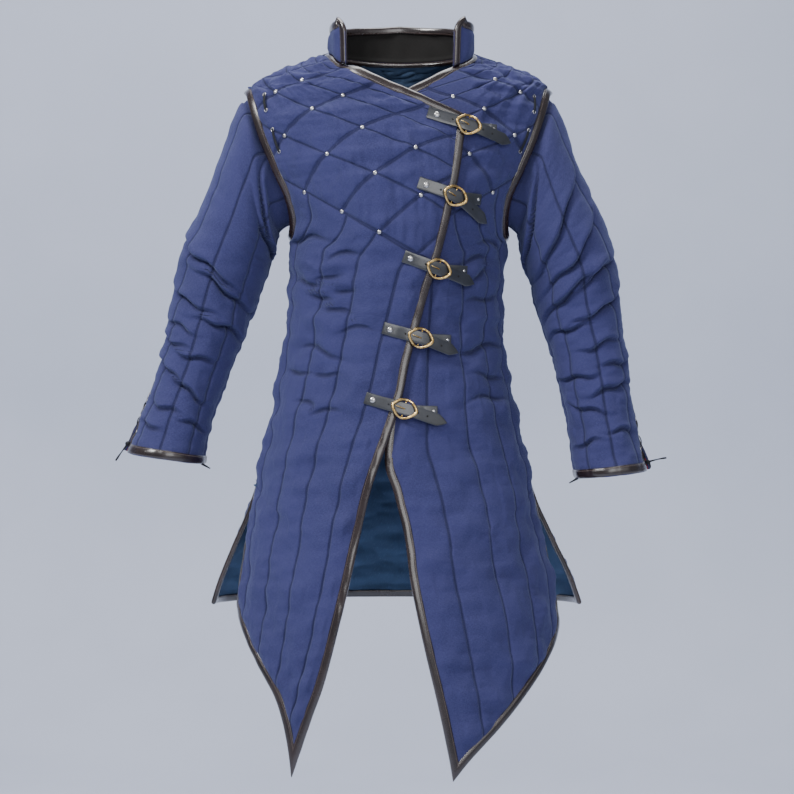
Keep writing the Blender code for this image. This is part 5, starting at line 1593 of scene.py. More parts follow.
@dataclass
class Sleeve:
    """One padded sleeve, open above its cuff, with its cuff's leather and its laces."""

    side: Side
    table: Sequence[Sequence[float]]
    folds: Sequence[SleeveFold]
    seed: int
    columns: int = 112
    rows: int = 190
    channels: int = 8
    head: tuple[tuple[float, ...], ...] = ((0.006, -0.0130, -0.0010), (0.0, -0.0130, -0.0010),
                                           (-0.012, -0.0090, 0.0038))
    seat_angle: float = 0.75
    slit_share: float = 0.20
    slit_gap: float = 0.012
    slit_angle: float = -0.10
    slit_flare: float = 0.0095
    wall: float = 0.0042
    eyelets: tuple[float, ...] = (0.26, 0.48, 0.70, 0.90)
    lace: float = 0.0024
    knot: float = 0.0046
    knot_lift: float = 0.0062
    binding_seat: float = 0.0052
    stub: tuple[float, ...] = (0.0140, -0.004, -0.0075)

    def sections(self) -> Array:
        """Rings of the sleeve's face: the head under the armhole, then the table's rows."""
        phi = np.linspace(0, 2 * math.pi, self.columns + 1)[:-1]
        sign = self.side.value
        rings = []
        for width, lift, seat in self.head:
            ring = []
            for angle in phi:
                turn, drop = armhole(angle, width)[0]
                from_top = min(angle, 2 * math.pi - angle)
                seated = seat + (lift - seat) * ease(from_top / self.seat_angle)
                ring.append(FORM.place(sign * -turn, drop, seated, math.sin(angle) < 0))
            rings.append(np.array(ring))
        for outer_x, outer_z, inner_x, inner_z, centre_y, deep in self.table:
            centre = np.array([(outer_x + inner_x) / 2, centre_y, (outer_z + inner_z) / 2])
            reach = np.array([(outer_x - inner_x) / 2, 0.0, (outer_z - inner_z) / 2])
            ring = (centre + reach * np.cos(phi)[:, None]
                    - np.array([0, deep, 0]) * np.sin(phi)[:, None])
            rings.append(ring * (sign, 1, 1))
        return np.array(rings)

    def grid(self) -> Array:
        """A smooth grid of the face, each ring starting at the slit."""
        sections = self.sections()
        middles = sections.mean(axis=1)
        steps = np.linalg.norm(np.diff(middles, axis=0), axis=1)
        along = np.concatenate([[0], np.cumsum(np.maximum(steps, 0.006))])
        want = np.concatenate([np.linspace(along[0], along[2], 7)[:-1],
                               np.linspace(along[2], along[-1], self.rows - 5)])
        flat = sections.reshape(len(sections), -1)
        read = np.stack([smooth_curve(want, along, column) for column in flat.T], -1)
        grid = read.reshape(self.rows + 1, self.columns, 3)
        grid = np.roll(grid, -self.start, axis=1)
        return np.concatenate([grid, grid[:, :1]], axis=1)

    @property
    def start(self) -> int:
        """The column where the slit lies."""
        return int(round(self.slit_angle / (2 * math.pi) * self.columns)) % self.columns

    def normals(self, grid: Array) -> Array:
        """Outward normals of the face."""
        ring = grid[:, :-1]
        along = np.roll(ring, -1, axis=1) - np.roll(ring, 1, axis=1)
        along = np.concatenate([along, along[:, :1]], axis=1)
        normal = unit(np.cross(along, np.gradient(grid, axis=0)))
        facing = np.sum(normal * (grid - ring.mean(axis=1)[:, None]), axis=-1)
        return normal * np.sign(np.median(facing))

    def relief(self, grid: Array) -> Quilted:
        """Quilting, creases and maps of the face."""
        down = np.linspace(0, 1, self.rows + 1)[:, None]
        share = np.linspace(0, 1, self.columns + 1)[None, :]
        length = lengths(grid.mean(axis=1))[:, None]
        girth = np.linalg.norm(np.diff(grid, axis=1), axis=-1).sum(axis=1)[:, None]
        number = share * self.channels + 0 * down
        cloth = quilt(share * girth, length + 0 * share, number, girth / self.channels,
                      Line.CHANNELS, self.seed)
        cloth.relief = cloth.relief * 0.50
        angle = 2 * math.pi * share + 2 * math.pi * self.start / self.columns
        folds = []
        for fold in self.folds:
            away = (angle - fold.where + math.pi) % (2 * math.pi) - math.pi
            spread = np.exp(-(away / (1.25 * fold.spread)) ** 2)
            sway = 0.006 * np.sin(3.1 * away + 40 * fold.down)
            sway = sway + 0.005 * np.sin(7.3 * away + 70 * fold.down)
            wave = (down - fold.down - fold.slope * away * 0.1 - sway) / fold.width
            bulge = np.where(wave < 0, np.exp(wave / 1.5) * (1 - np.exp(wave * 2.2)), 0.0)
            height = 1.45 * fold.depth * spread * (2.2 * bulge - np.exp(-np.abs(wave) ** 1.3))
            folds.append((height, wave * fold.width * length[-1] + 0 * height, spread))
        cloth.press(folds)
        relief = cloth.relief
        edge = ease((down - 0.045) / 0.05) * (0.30 + 0.70 * (1 - ease((down - 0.965) / 0.025)))
        return Quilted(relief * edge, cloth.maps)

    def build(self, finishes: Finishes) -> None:
        """Make the cloth, its leather and its laces."""
        word = self.side.name.lower()
        grid = self.grid()
        normal = self.normals(grid)
        first = self.rows - int(self.rows * self.slit_share)
        cloth = self.relief(grid)
        for r in range(first, self.rows + 1):
            share = (r - first) / (self.rows - first)
            gap = self.slit_gap * math.sin(min(1.0, share * 1.25) * math.pi / 2) ** 0.8
            for column, way in ((slice(0, 6), 1), (slice(-6, None), -1)):
                shift = np.linspace(1, 0, 7)[:-1] if way == 1 else np.linspace(0, 1, 7)[1:]
                tangent = unit(grid[r, 1] - grid[r, 0]) * way
                grid[r, column] += tangent * (gap / 2 * shift)[:, None]
            flare = self.slit_flare * float(ease(share)) * np.linspace(0.0, 1.0, 12) ** 1.6
            grid[r, -12:] += normal[r, -12:] * flare[:, None]
        points = grid + normal * cloth.relief[..., None]
        obj = grid_object("sleeve_%s_canvas" % word, points, cloth.maps,
                          [finishes.canvas, finishes.sleeve_lining], weld=True,
                          outward=tuple(normal[self.rows // 2, self.columns // 2]))
        solidify(obj, self.wall, inner=1)
        dress(obj, ["sleeve_" + word])
        self.bind_cuff(points, normal, word, finishes)
        self.bind_slit(points, normal, first, word, finishes)
        self.lace_slit(points, normal, first, word, finishes)

    def bind_cuff(self, points: Array, normal: Array, word: str, finishes: Finishes) -> None:
        """Bind the cuff's edge, open at the slit, with a tie's stub at its inner end.

        Args:
            points: the cloth's grid.
            normal: its normals.
            word: right or left.
            finishes: the materials.
        """
        step = np.linalg.norm(points[-1] - points[-2], axis=-1).mean()
        back = int(round(CUFF_BINDING_WIDTH / step))
        outward = unit(normal[-1])
        base = outward * self.binding_seat
        obj = bind("binding_cuff_%s_leather" % word, points[-1] - base, points[-1 - back] - base,
                   outward, np.zeros(self.columns + 1), finishes.binding, uneven=self.seed + 3)
        dress(obj, ["binding_cuff_" + word])
        inner = points[-1, self.columns // 2] - outward[self.columns // 2] * 0.003
        reach = np.linspace(0.0, 1.0, 8)
        stub = inner + np.outer(reach, np.array(self.stub) * (-self.side.value, 1, 1))
        dress(tube("cuff_tie_" + word, stub, 0.0018 * (1.1 - 0.6 * reach), finishes.cord, 8, 0.6))

    def bind_slit(self, points: Array, normal: Array, first: int, word: str,
                  finishes: Finishes) -> None:
        """Bind both edges of the slit.

        Args:
            points: the cloth's grid.
            normal: its normals.
            first: the slit's first row.
            word: right or left.
            finishes: the materials.
        """
        rows = slice(first - 3, self.rows - 2)
        for column, inside, part in ((0, 2, "front"), (-1, -3, "rear")):
            outer = points[rows, column] - normal[rows, column] * 0.0050
            toward = unit(points[rows, inside] - points[rows, column]) * 0.0065
            obj = bind("slit_binding_%s_%s" % (word, part), outer, outer + toward,
                       normal[rows, column], np.full(len(outer), 0.0004), finishes.binding,
                       uneven=self.seed + 5)
            dress(obj)

    def lace_slit(self, points: Array, normal: Array, first: int, word: str,
                  finishes: Finishes) -> None:
        """Lace the slit through eyelets and knot it above the cuff, with one end free.

        Args:
            points: the cloth's grid.
            normal: its normals.
            first: the slit's first row.
            word: right or left.
            finishes: the materials.
        """
        pairs = []
        for k, share in enumerate(self.eyelets):
            r = first + int((self.rows - first) * share)
            pair = []
            for column, part in ((4, "front"), (-5, "rear")):
                at, out = points[r, column], normal[r, column]
                along = unit(points[r + 1, column] - points[r - 1, column])
                across = np.cross(out, along)
                eyelet("cuff_eyelet_%s_%s_%d" % (word, part, k), at + out * 0.0004,
                       (along, across, out), finishes)
                pair.append((at, out))
            pairs.append(pair)
        share = np.linspace(0, 1, 17)[:, None]
        for k, (upper, lower) in enumerate(zip(pairs, pairs[1:])):
            for a, part in ((0, "over"), (1, "under")):
                (start, out), (end, _) = upper[a], lower[1 - a]
                rise = (0.0046 - 0.0016 * a) * np.sin(share * math.pi) ** 0.5 - 0.0008
                path = start + (end - start) * share + out * rise
                dress(tube("cuff_lace_%s_%s_%d" % (word, part, k), path, self.lace / 2,
                           finishes.cord, 8, 0.7, out))
        (front, out), (rear, _) = pairs[-1]
        knot = (front + rear) / 2 + out * self.knot_lift
        dress(bead("cuff_knot_" + word, self.knot, (1.0, 1.15, 0.85), finishes.cord,
                   Matrix.Translation(knot)))
        self.free_end(knot, word, finishes)

    def free_end(self, knot: Array, word: str, finishes: Finishes) -> None:
        """The loose end of the lace beyond its knot.

        Args:
            knot: the knot's place.
            word: right or left.
            finishes: the materials.
        """
        reach = np.linspace(0, 1, 22)[:, None]
        away = LACE_ENDS[self.side.name]
        path = knot + np.array(away) * reach + np.array([0, 0, -0.003]) * reach * reach
        obj = tube("lace_end_" + word, path, self.lace * (0.5 + 0.12 * np.sin(9 * reach[:, 0])),
                   finishes.cord, 8)
        dress(obj)


@dataclass
class Collar:
    """The stand collar with rounded ends, bound along its ends and top."""

    columns: int = 130
    rows: int = 20
    wall: float = 0.0034
    corner: float = 0.0190

    def frame_lines(self) -> tuple[Array, Array, Array]:
        """The collar's foot, its top and the way out, at each column."""
        turns = np.linspace(COLLAR_LEFT_END, 360 + COLLAR_RIGHT_END, self.columns + 1)
        table = np.asarray(COLLAR_SHAPE, float)
        right = FORM.resample(RIGHT_NECK, 160)
        left = FORM.resample(LEFT_NECK, 160)
        foot, top, out = [], [], []
        for turn in turns:
            signed = turn if turn <= 180 else turn - 360
            back = abs(signed) > 90
            neck = right if signed < 0 else left
            drop = 0.0 if back else float(np.interp(-abs(signed), neck[:, 0], neck[:, 1]))
            rise = 0.0 if signed > 0 or back else float(overlap_rise(signed, drop))
            low = FORM.place(signed, drop + 0.0040, 0.0072 + rise, back)
            way = np.array([math.sin(math.radians(signed)), -math.cos(math.radians(signed)), 0])
            height, lean = [np.interp(abs(signed), table[:, 0], table[:, k]) for k in (1, 2)]
            foot.append(low)
            top.append(np.append(low[:2], height - 0.0015) + way * lean)
            out.append(way)
        return np.array(foot), np.array(top), np.array(out)

    def build(self, finishes: Finishes) -> None:
        """Make the cloth and the leather along its ends and top."""
        foot, top, out = self.frame_lines()
        run = lengths((foot + top) / 2)
        tall = np.linalg.norm(top - foot, axis=1)
        from_end = np.minimum(run, run[-1] - run)
        inside = np.clip(from_end / self.corner, 0, 1)
        limit = 1 - self.corner / tall * (1 - np.sqrt(1 - (1 - inside) ** 2))
        shares = np.linspace(0, 1, self.rows + 1)[:, None]
        level = shares * limit[None, :]
        across, down = run[None, :] + 0 * level, level * tall[None, :]
        number = down / 0.5
        cloth = quilt(across, down, number + 0.5, np.full_like(down, 0.5), Line.CHANNELS, 95)
        clear = np.minimum(from_end[None, :], tall[None, :] * (limit[None, :] - level))
        relief = 0.0024 + 0.0008 * ripples(across, down, 0.030, 17)
        relief = relief * ease((clear - 0.0090) / 0.010) * ease(down / 0.008)
        normal = unit(np.cross(np.gradient(foot, axis=0), top - foot))
        if np.sum(normal * out) < 0:
            normal = -normal
        points = (foot + (top - foot) * level[..., None]) + normal * (relief + 0.0022)[..., None]
        # the collar's inner face takes the near-black painted shade
        obj = grid_object("collar_canvas", points, cloth.maps, [finishes.canvas, finishes.hole],
                          outward=tuple(normal[self.columns // 2]))
        solidify(obj, self.wall, inner=1)
        dress(obj, ["collar"])
        self.bind_rim(foot, top, normal, run, tall, finishes)

    def bind_rim(self, foot: Array, top: Array, normal: Array, run: Array, tall: Array,
                 finishes: Finishes) -> None:
        """Bind up one end, along the top and down the other end.

        Args:
            foot: the collar's foot by column.
            top: its top by column.
            normal: the way out by column.
            run: length run by column.
            tall: height by column.
            finishes: the materials.
        """
        r, end = self.corner, float(run[-1])
        height = float(np.interp(0.0, run, tall))
        far_height = float(tall[-1])
        arc = np.linspace(0, math.pi / 2, 9)
        line = [(0.0, h) for h in np.linspace(0.0, height - r, 12)]
        line += [(r - r * math.cos(a), height - r + r * math.sin(a)) for a in arc[1:]]
        middle = np.linspace(r, end - r, 90)[1:-1]
        line += [(s, float(np.interp(s, run, tall))) for s in middle]
        line += [(end - r + r * math.sin(a), far_height - r + r * math.cos(a)) for a in arc]
        line += [(end, h) for h in np.linspace(far_height - r, 0.0, 12)[1:]]
        path = np.array(line)
        way = unit(np.gradient(path, axis=0))
        beside = path + np.stack([way[:, 1], -way[:, 0]], -1) * 0.0115
        beside[:, 1] = np.maximum(beside[:, 1], 0.0)

        def on_collar(places: Array) -> Array:
            """Points of the collar's middle face at (run, height) places."""
            low = np.stack([np.interp(places[:, 0], run, foot[:, k]) for k in range(3)], -1)
            high = np.stack([np.interp(places[:, 0], run, top[:, k]) for k in range(3)], -1)
            scale = places[:, 1] / np.interp(places[:, 0], run, tall)
            return low + (high - low) * scale[:, None]

        outward = np.stack([np.interp(path[:, 0], run, normal[:, k]) for k in range(3)], -1)
        base = unit(outward) * 0.0029
        obj = bind("binding_collar_leather", on_collar(path) - base, on_collar(beside) - base,
                   unit(outward), np.zeros(len(path)), finishes.binding, uneven=61)
        dress(obj, ["binding_collar"])


class Surface:
    """What shows of the fronts, as a ground to lay fittings on."""

    def __init__(self, cloths: Sequence[bpy.types.Object]) -> None:
        """Read the cloths' faces."""
        self.trees = []
        for obj in cloths:
            bm = bmesh.new()
            bm.from_mesh(obj.data)
            self.trees.append(BVHTree.FromBMesh(bm))
            bm.free()

    def height(self, turn: float, drop: float, radius: float, which: slice = slice(None)) -> float:
        """Highest lift of the cloth under a round place.

        Args:
            turn: the place's turn.
            drop: its drop.
            radius: its radius.
            which: the cloths to look at.

        Returns:
            The lift in metres.
        """
        base = FORM.point(turn, drop)
        along, _, normal = FORM.axes(turn, drop)
        along = unit(along)
        across = np.cross(normal, along)
        top = 0.0
        for k in range(17):
            reach = radius * (1.0 if k < 8 else 0.55 if k < 16 else 0.0)
            angle = k * math.pi / 4
            start = base + reach * (along * math.cos(angle) + across * math.sin(angle))
            for tree in self.trees[which]:
                hit = tree.ray_cast(Vector(start + normal * 0.05), Vector(-normal), 0.06)
                if hit[0] is not None:
                    top = max(top, 0.05 - hit[3])
        return top


def fitting_frame(turn: float, drop: float, heading: Array | None = None) -> Matrix:
    """The place of a fitting on the form: X along, Y across, Z out.

    Args:
        turn: its turn.
        drop: its drop.
        heading: its direction in turn and drop.

    Returns:
        The place as a matrix.
    """
    per_turn, per_drop, normal = FORM.axes(turn, drop)
    along = unit(per_turn) if heading is None else unit(per_turn * heading[0]
                                                        + per_drop * heading[1])
    across = np.cross(normal, along)
    place = Matrix((along, across, normal)).transposed().to_4x4()
    place.translation = Vector(FORM.point(turn, drop))
    return place


def dome(name: str, place: Matrix, lift: float, radius: float, height: float,
         mat: Any) -> bpy.types.Object:
    """A domed head with a rolled rim.

    Args:
        name: the piece's name.
        place: where it sits on the form.
        lift: how far off the form.
        radius: its radius.
        height: its height.
        mat: its metal.

    Returns:
        The head.
    """
    bm = bmesh.new()
    bmesh.ops.create_uvsphere(bm, u_segments=12, v_segments=8, radius=radius)
    bmesh.ops.bisect_plane(bm, geom=bm.verts[:] + bm.edges[:] + bm.faces[:], dist=1e-6,
                           plane_co=(0, 0, 0), plane_no=(0, 0, -1), clear_outer=True)
    bmesh.ops.scale(bm, vec=(1, 1, height / radius), verts=bm.verts)
    rim = bmesh.ops.extrude_edge_only(bm, edges=[e for e in bm.edges if e.is_boundary])
    bmesh.ops.translate(bm, vec=(0, 0, -0.0006), verts=grown_verts(rim))
    bmesh.ops.holes_fill(bm, edges=[e for e in bm.edges if e.is_boundary])
    return bmesh_object(name, bm, mat, place @ Matrix.Translation((0, 0, lift)))


def tube(name: str, path: Array, radius: Any, mat: Any, sides: int = 10,
         flat: float = 1.0, up: Array | None = None, closed: bool = False) -> bpy.types.Object:
    """A round or flattened bar, wire or lace along a path.

    Args:
        name: the piece's name.
        path: its middle line.
        radius: its radius, or one for each point.
        mat: its material.
        sides: how many sides it has.
        flat: its thickness as a share of its width.
        up: the way its flat side faces.
        closed: True for a ring.

    Returns:
        The piece.
    """
    if closed:
        path = np.concatenate([path, path[:1]])
        way = unit(np.roll(path[:-1], -1, axis=0) - np.roll(path[:-1], 1, axis=0))
        way = np.concatenate([way, way[:1]])
    else:
        way = unit(np.gradient(path, axis=0))
    upward = np.broadcast_to(np.array([0.0, -1.0, 0.0]) if up is None else up, path.shape)
    across = unit(np.cross(way, upward))
    lift = np.cross(across, way)
    radii = np.broadcast_to(np.asarray(radius, float), len(path))[:, None]
    angles = np.linspace(0, 2 * math.pi, sides + 1)
    grid = np.stack([path + across * radii * math.cos(a) + lift * radii * flat * math.sin(a)
                     for a in angles], axis=1)
    run = lengths(path)[:, None]
    strip = np.stack([angles[None, :] * radii.mean() + 0 * run, run + 0 * angles[None, :]], -1)
    return grid_object(name, grid, {"Strip": strip}, [mat], weld=True, cap=not closed)


def eyelet(name: str, at: Array, axes: Sequence[Array], finishes: Finishes) -> None:
    """A small metal ring round a hole.

    Args:
        name: the piece's name.
        at: its middle.
        axes: two ways along the cloth and the way out.
        finishes: the materials.
    """
    angles = np.linspace(0, 2 * math.pi, 13)[:-1, None]
    ring = at + EYELET * (axes[0] * np.cos(angles) + axes[1] * np.sin(angles))
    dress(tube(name, ring, EYELET_WIRE, finishes.nickel, 6, up=axes[2], closed=True))


@dataclass
class Closure:
    """A strap riveted to the right front, and the buckle that its short strap holds."""

    number: int
    rivet: Point
    buckle: Point
    tip: Point
    width: float = 0.0188
    thickness: float = 0.0022
    length: float = 0.0375
    height: float = 0.0300
    wire: float = 0.0020
    lifts: tuple[float, ...] = (0.0194, 0.0202, 0.0202, 0.0156, 0.0131)
    most_seat: float = 0.0202
    chape_width: float = 0.0170
    chape_thickness: float = 0.0020
    most_chape: float = 0.0118

    def build(self, ground: Surface, finishes: Finishes) -> None:
        """Make the strap, the short strap, the buckle and the rivets.

        Args:
            ground: the fronts' faces.
            finishes: the materials.
        """
        rivet, buckle, tip = (np.array(p, float) for p in (self.rivet, self.buckle, self.tip))
        first = buckle - rivet
        begin = rivet - first / np.linalg.norm(first * (TURN_LENGTH, 1)) * 0.009
        path = FORM.resample([begin, rivet, buckle, (buckle + tip) / 2, tip], 61)
        nearest = int(np.argmin(np.linalg.norm((path - buckle) * (TURN_LENGTH, 1), axis=1)))
        middle = nearest / 60
        seat = ground.height(*self.rivet, self.width / 2, slice(0, 1)) + 0.0004
        seat = min(seat, self.most_seat)
        shares = np.linspace(0, 1, 61)
        lifts = smooth_curve(shares, np.array((0, middle * 0.35, middle * 0.7, middle - 0.07,
                                               middle + 0.10, middle + 0.34, 1.0)),
                             np.array((seat, seat) + self.lifts))
        self.strap("strap_%d_leather" % self.number, path, lifts, self.width, self.thickness,
                   finishes.strap, ["strap_%d" % self.number], pointed=True)
        heading = path[nearest + 1] - path[nearest - 1]
        for name, share in (("a", middle * 0.62), ("b", middle + 0.17), ("c", middle + 0.29)):
            k = int(round(share * 60))
            self.hole("strap_%d_hole_%s" % (self.number, name), path[k], lifts[k], finishes)
        place = fitting_frame(*self.rivet)
        rivet_head = dome("rivet_%d_head" % self.number, place, seat + self.thickness + 0.0005,
                          0.0048, 0.0022, finishes.nickel)
        dress(rivet_head, ["rivet_%d" % self.number])
        self.chape(ground, buckle, finishes)
        self.frame(buckle, heading, finishes)

    def strap(self, name: str, path: Array, lifts: Array, width: float, thickness: float,
              mat: Any, nodes: Sequence[str], pointed: bool = False) -> None:
        """A flat strap with eased edges, and a pointed tip if asked.

        Args:
            name: the piece's name.
            path: its middle line as (turn, drop).
            lifts: its lift at each point.
            width: its width.
            thickness: its thickness.
            mat: its leather.
            nodes: the solids that it stands for.
            pointed: True for a pointed tip.
        """
        points = FORM.place(path[:, 0], path[:, 1], lifts + thickness)
        normal = FORM.axes(path[:, 0], path[:, 1])[2]
        along = np.gradient(points, axis=0)
        side = unit(np.cross(normal, along))
        run = lengths(points)
        half = np.full(len(points), width / 2)
        if pointed:
            left = run[-1] - run
            half = half * np.clip(left / 0.0150, 0.03, 1) ** 0.72
        half = half * (1 + 0.02 * ripples(run, run * 0, 0.03, self.number))
        shares = np.linspace(-1, 1, 13)
        shares = np.sign(shares) * np.abs(shares) ** 0.8
        crown = -0.0004 * shares ** 6
        grid = np.stack([points + side * (half * s)[:, None] + normal * c
                         for s, c in zip(shares, crown)], axis=1)
        strip = np.stack([(1 - np.abs(shares))[None, :] * half[:, None],
                          run[:, None] + 0 * shares[None, :]], -1)
        outward = tuple(normal[len(normal) // 2])
        obj = grid_object(name, grid, {"Strip": strip}, [mat], outward=outward)
        solidify(obj, thickness - 0.0001)
        bevel = obj.modifiers.new("eased", "BEVEL")
        bevel.width, bevel.segments, bevel.limit_method = 0.0005, 2, "ANGLE"
        dress(obj, nodes)

    def hole(self, name: str, place: Array, lift: float, finishes: Finishes) -> None:
        """A punched hole, as a near-black dish of painted shade let into the strap.

        Args:
            name: the piece's name.
            place: its turn and drop.
            lift: the strap's lift there.
            finishes: the materials.
        """
        bm = bmesh.new()
        bmesh.ops.create_circle(bm, cap_ends=True, segments=14, radius=0.0015)
        grown = bmesh.ops.extrude_face_region(bm, geom=bm.faces[:])
        bmesh.ops.translate(bm, vec=(0, 0, 0.0005), verts=grown_verts(grown))
        matrix = fitting_frame(*place) @ Matrix.Translation((0, 0, lift + self.thickness - 0.0003))
        dress(bmesh_object(name, bm, finishes.hole, matrix))

    def chape(self, ground: Surface, buckle: Array, finishes: Finishes) -> None:
        """The short strap under the buckle, with its small rivet.

        Args:
            ground: the fronts' faces.
            buckle: the buckle's turn and drop.
            finishes: the materials.
        """
        start = max(buckle[0], float(over_edge(buckle[1]))) + 1.6
        stop = buckle[0] + 0.050 / np.linalg.norm(FORM.axes(*buckle)[0])
        path = np.stack([np.linspace(start, stop, 24),
                         buckle[1] + np.linspace(0.001, 0.003, 24)], -1)
        rough = np.array([ground.height(*p, 0.009, slice(1, 2)) for p in path[::4]])
        lifts = np.interp(np.arange(24), np.arange(0, 24, 4), np.maximum(rough, rough.mean()))
        lifts = np.minimum(lifts + 0.0004, self.most_chape)
        self.strap("chape_%d_leather" % self.number, path, lifts, self.chape_width,
                   self.chape_thickness, finishes.strap, ["chape_%d" % self.number])
        end = path[-4]
        head = dome("chape_%d_rivet" % self.number, fitting_frame(*end),
                    lifts[-4] + self.chape_thickness + 0.0004, 0.0026, 0.0012,
                    finishes.nickel)
        dress(head)

    def frame(self, buckle: Array, heading: Array, finishes: Finishes) -> None:
        """The brass frame with pointed ends and notched middles, its bar and its prong.

        Args:
            buckle: the frame's middle.
            heading: the strap's direction.
            finishes: the materials.
        """
        place = fitting_frame(buckle[0], buckle[1], heading)
        low, high = 0.0200, 0.0256
        angles = np.linspace(0, 2 * math.pi, 65)[:-1]
        cos, sin = np.cos(angles), np.sin(angles)
        pointed = 0.86 + 0.15 * np.abs(cos) ** 9
        notch = 0.96
        ring = np.stack([self.length / 2 * cos * pointed, self.height / 2 * sin * notch,
                         high - (high - low) * np.abs(sin) ** 6], -1)
        ring = np.array([place @ Vector(p) for p in ring])
        normal = np.array(place.to_3x3().col[2])
        thick = self.wire * (1 + 0.20 * np.abs(cos) ** 10)
        obj = tube("buckle_%d_frame" % self.number, ring, np.append(thick, thick[0]),
                   finishes.brass, 12, 0.85, normal, closed=True)
        dress(obj, ["buckle_%d" % self.number])
        for sign, part in ((1, "top"), (-1, "foot")):
            knob = place @ Matrix.Translation((0, sign * self.height * 0.460, low + 0.0002))
            dress(bead("buckle_%d_knob_%s" % (self.number, part), 0.0020, (1.25, 0.8, 0.8),
                       finishes.brass, knob, 8, 5))
        bar = np.array([place @ Vector((0, y, 0.0185)) for y in np.linspace(-0.0135, 0.0135, 9)])
        dress(tube("buckle_%d_bar" % self.number, bar, 0.0012, finishes.brass, 10,
                   up=normal))
        reach = np.linspace(0.0, 1.0, 22)
        prong = np.stack([-0.0150 * reach + 0.0010, 0 * reach,
                          0.0226 + 0.0062 * np.sin(reach * math.pi * 0.62) ** 1.2], -1)
        prong = np.array([place @ Vector(p) for p in prong])
        dress(tube("buckle_%d_prong" % self.number, prong, 0.00105 * (1 - 0.35 * reach),
                   finishes.brass, 10, up=normal))


@dataclass
class Studs:
    """Dome studs where the quilting of the yokes crosses."""

    radius: float = 0.0036
    height: float = 0.0019

    def build(self, ground: Surface, finishes: Finishes) -> None:
        """Set every stud on the cloth."""
        for sign, table, word in ((1, STUD_ROWS, "right"), (-1, LEFT_STUDS, "left")):
            number = 0
            for row, places in table.items():
                for place in places:
                    turn, drop = diamond_point(place, row)
                    number += 1
                    lift = ground.height(turn * sign, drop, self.radius * 0.8)
                    obj = dome("stud_%s_%02d_head" % (word, number),
                               fitting_frame(turn * sign, drop), lift, self.radius,
                               self.height, finishes.nickel)
                    dress(obj, ["stud_%s_%02d" % (word, number)])


@dataclass
class ShoulderLaces:
    """Eyelets beside the armholes, with the laces that hold the sleeves."""

    eyelets: tuple[tuple[Side, tuple[Point, ...]], ...] = (
        (Side.RIGHT, ((-58.5, 0.161), (-56.1, 0.187), (-54.0, 0.2165), (-53.7, 0.2505))),
        (Side.LEFT, ((60.5, 0.163), (58.6, 0.189), (56.6, 0.217), (55.6, 0.250))),
    )

    def build(self, ground: Surface, finishes: Finishes) -> None:
        """Make the eyelets, and a flat lace between each two."""
        for side, places in self.eyelets:
            word = side.name.lower()
            points = []
            for k, (turn, drop) in enumerate(places):
                lift = ground.height(turn, drop, 0.004)
                place = fitting_frame(turn, drop)
                axes = [np.array(column) for column in place.to_3x3().col]
                eyelet("eyelet_%s_%d" % (word, k),
                       np.array(place @ Vector((0, 0, lift + 0.0002))), axes, finishes)
                points.append((np.array(place @ Vector((0, 0, lift))), axes[2]))
            for k in (0, 2):
                (start, normal), (end, _) = points[k], points[k + 1]
                share = np.linspace(0, 1, 21)[:, None]
                rise = 0.0030 * np.sin(share * math.pi) ** 0.6 - 0.0008
                path = start + (end - start) * share + normal * rise
                dress(tube("shoulder_lace_%s_%d" % (word, k // 2), path, 0.0023, finishes.cord,
                           10, 0.45, normal))


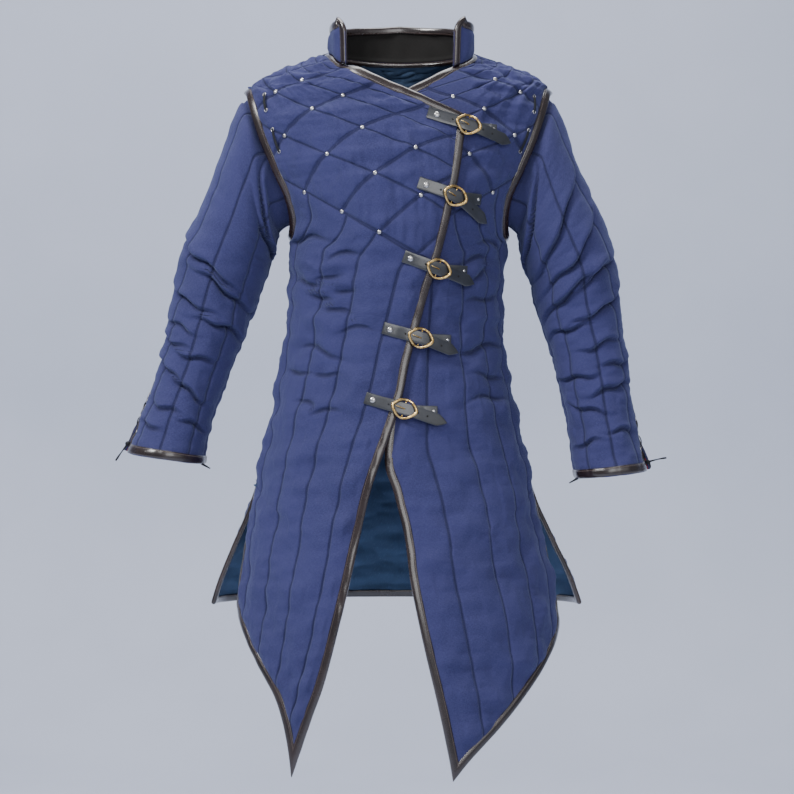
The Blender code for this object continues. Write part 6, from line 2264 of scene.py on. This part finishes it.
class Studio:
    """A pale floor and backdrop, soft lights and the camera."""

    def build(self) -> None:
        """Make the stage, the lights and the camera."""
        b = Bench("studio_paper")
        tone = b.noise(b.place(), 1.6, 3.0)
        colour = b.mix(b.step(tone, 0.3, 0.7), (0.530, 0.570, 0.690, 1.0),
                       (0.565, 0.605, 0.725, 1.0))
        paper = b.finish(colour, 0.95)
        bm = bmesh.new()
        bmesh.ops.create_grid(bm, x_segments=1, y_segments=1, size=7.0)
        edge = [e for e in bm.edges if all(v.co.y > 6.9 for v in e.verts)]
        bmesh.ops.translate(bm, vec=(0, -4.2, 0), verts=[v for e in edge for v in e.verts])
        grown = bmesh.ops.extrude_edge_only(bm, edges=edge)
        bmesh.ops.translate(bm, vec=(0, 0, 7.0), verts=grown_verts(grown))
        bmesh.ops.bevel(bm, geom=edge, offset=1.0, offset_type="OFFSET", affect="EDGES",
                        segments=12, profile=0.5, material=-1)
        bmesh.ops.translate(bm, vec=(0, 0, -1.5), verts=bm.verts)
        bmesh.ops.scale(bm, vec=(2.4, 1.0, 1.0), verts=bm.verts)
        mesh = bpy.data.meshes.new("studio_floor")
        bm.to_mesh(mesh)
        bm.free()
        mesh.materials.append(paper)
        mesh.shade_smooth()
        linked("studio_floor", mesh)
        for name, settings in LIGHTS.items():
            self.light(name, *settings)
        world = bpy.data.worlds.new("soft_room")
        bpy.context.scene.world = world
        world.use_nodes = True
        sky = world.node_tree.nodes["Background"].inputs
        sky[0].default_value, sky[1].default_value = SKY
        camera = linked("camera", bpy.data.cameras.new("camera"))
        camera.location = CAMERA_AT
        camera.rotation_euler = (math.pi / 2, 0.0, 0.0)
        camera.data.lens = CAMERA_LENS
        camera.data.sensor_width = 36.0
        bpy.context.scene.camera = camera

    def light(self, name: str, at: tuple[float, float, float], size: float,
              power: float) -> None:
        """A large square light aimed at the garment.

        Args:
            name: its name.
            at: its place.
            size: its side in metres.
            power: its power in watts.
        """
        data = bpy.data.lights.new(name, "AREA")
        data.size = size
        data.energy = power
        lamp = linked(name, data)
        lamp.location = at
        lamp.rotation_euler = (Vector(AIM) - Vector(at)).to_track_quat("-Z", "Y").to_euler()


def fold_rows(kind: type, table: Sequence[Sequence[float]]) -> list[Any]:
    """Folds of one kind from the rows of a table."""
    return [kind(*row) for row in table]


def main() -> None:
    """Dress the garment and set up the studio."""
    finishes = make_finishes()
    right = Front(Side.RIGHT, RIGHT_NECK, RIGHT_EDGE, RIGHT_HEM, RIGHT_SLIT, RIGHT_CHANNELS,
                  NECK_CORNERS[0], fold_rows(Fold, RIGHT_FOLDS), 11).build(finishes)
    left = Front(Side.LEFT, LEFT_NECK, LEFT_EDGE, LEFT_HEM, LEFT_SLIT, LEFT_CHANNELS,
                 NECK_CORNERS[1], fold_rows(Fold, LEFT_FOLDS), 41).build(finishes)
    Back(fold_rows(Fold, BACK_FOLDS)).build(finishes)
    for side in Side:
        ArmholeBinding(side).build(finishes)
    Sleeve(Side.RIGHT, RIGHT_SLEEVE, fold_rows(SleeveFold, RIGHT_SLEEVE_FOLDS),
           101).build(finishes)
    Sleeve(Side.LEFT, LEFT_SLEEVE, fold_rows(SleeveFold, LEFT_SLEEVE_FOLDS), 151).build(finishes)
    Collar().build(finishes)
    ground = Surface((right, left))
    for number, points in enumerate(CLOSURES, 1):
        Closure(number, *points).build(ground, finishes)
    Studs().build(ground, finishes)
    ShoulderLaces().build(ground, finishes)
    Studio().build()


if __name__ == "__main__":
    logging.basicConfig(level=logging.INFO)
    main()
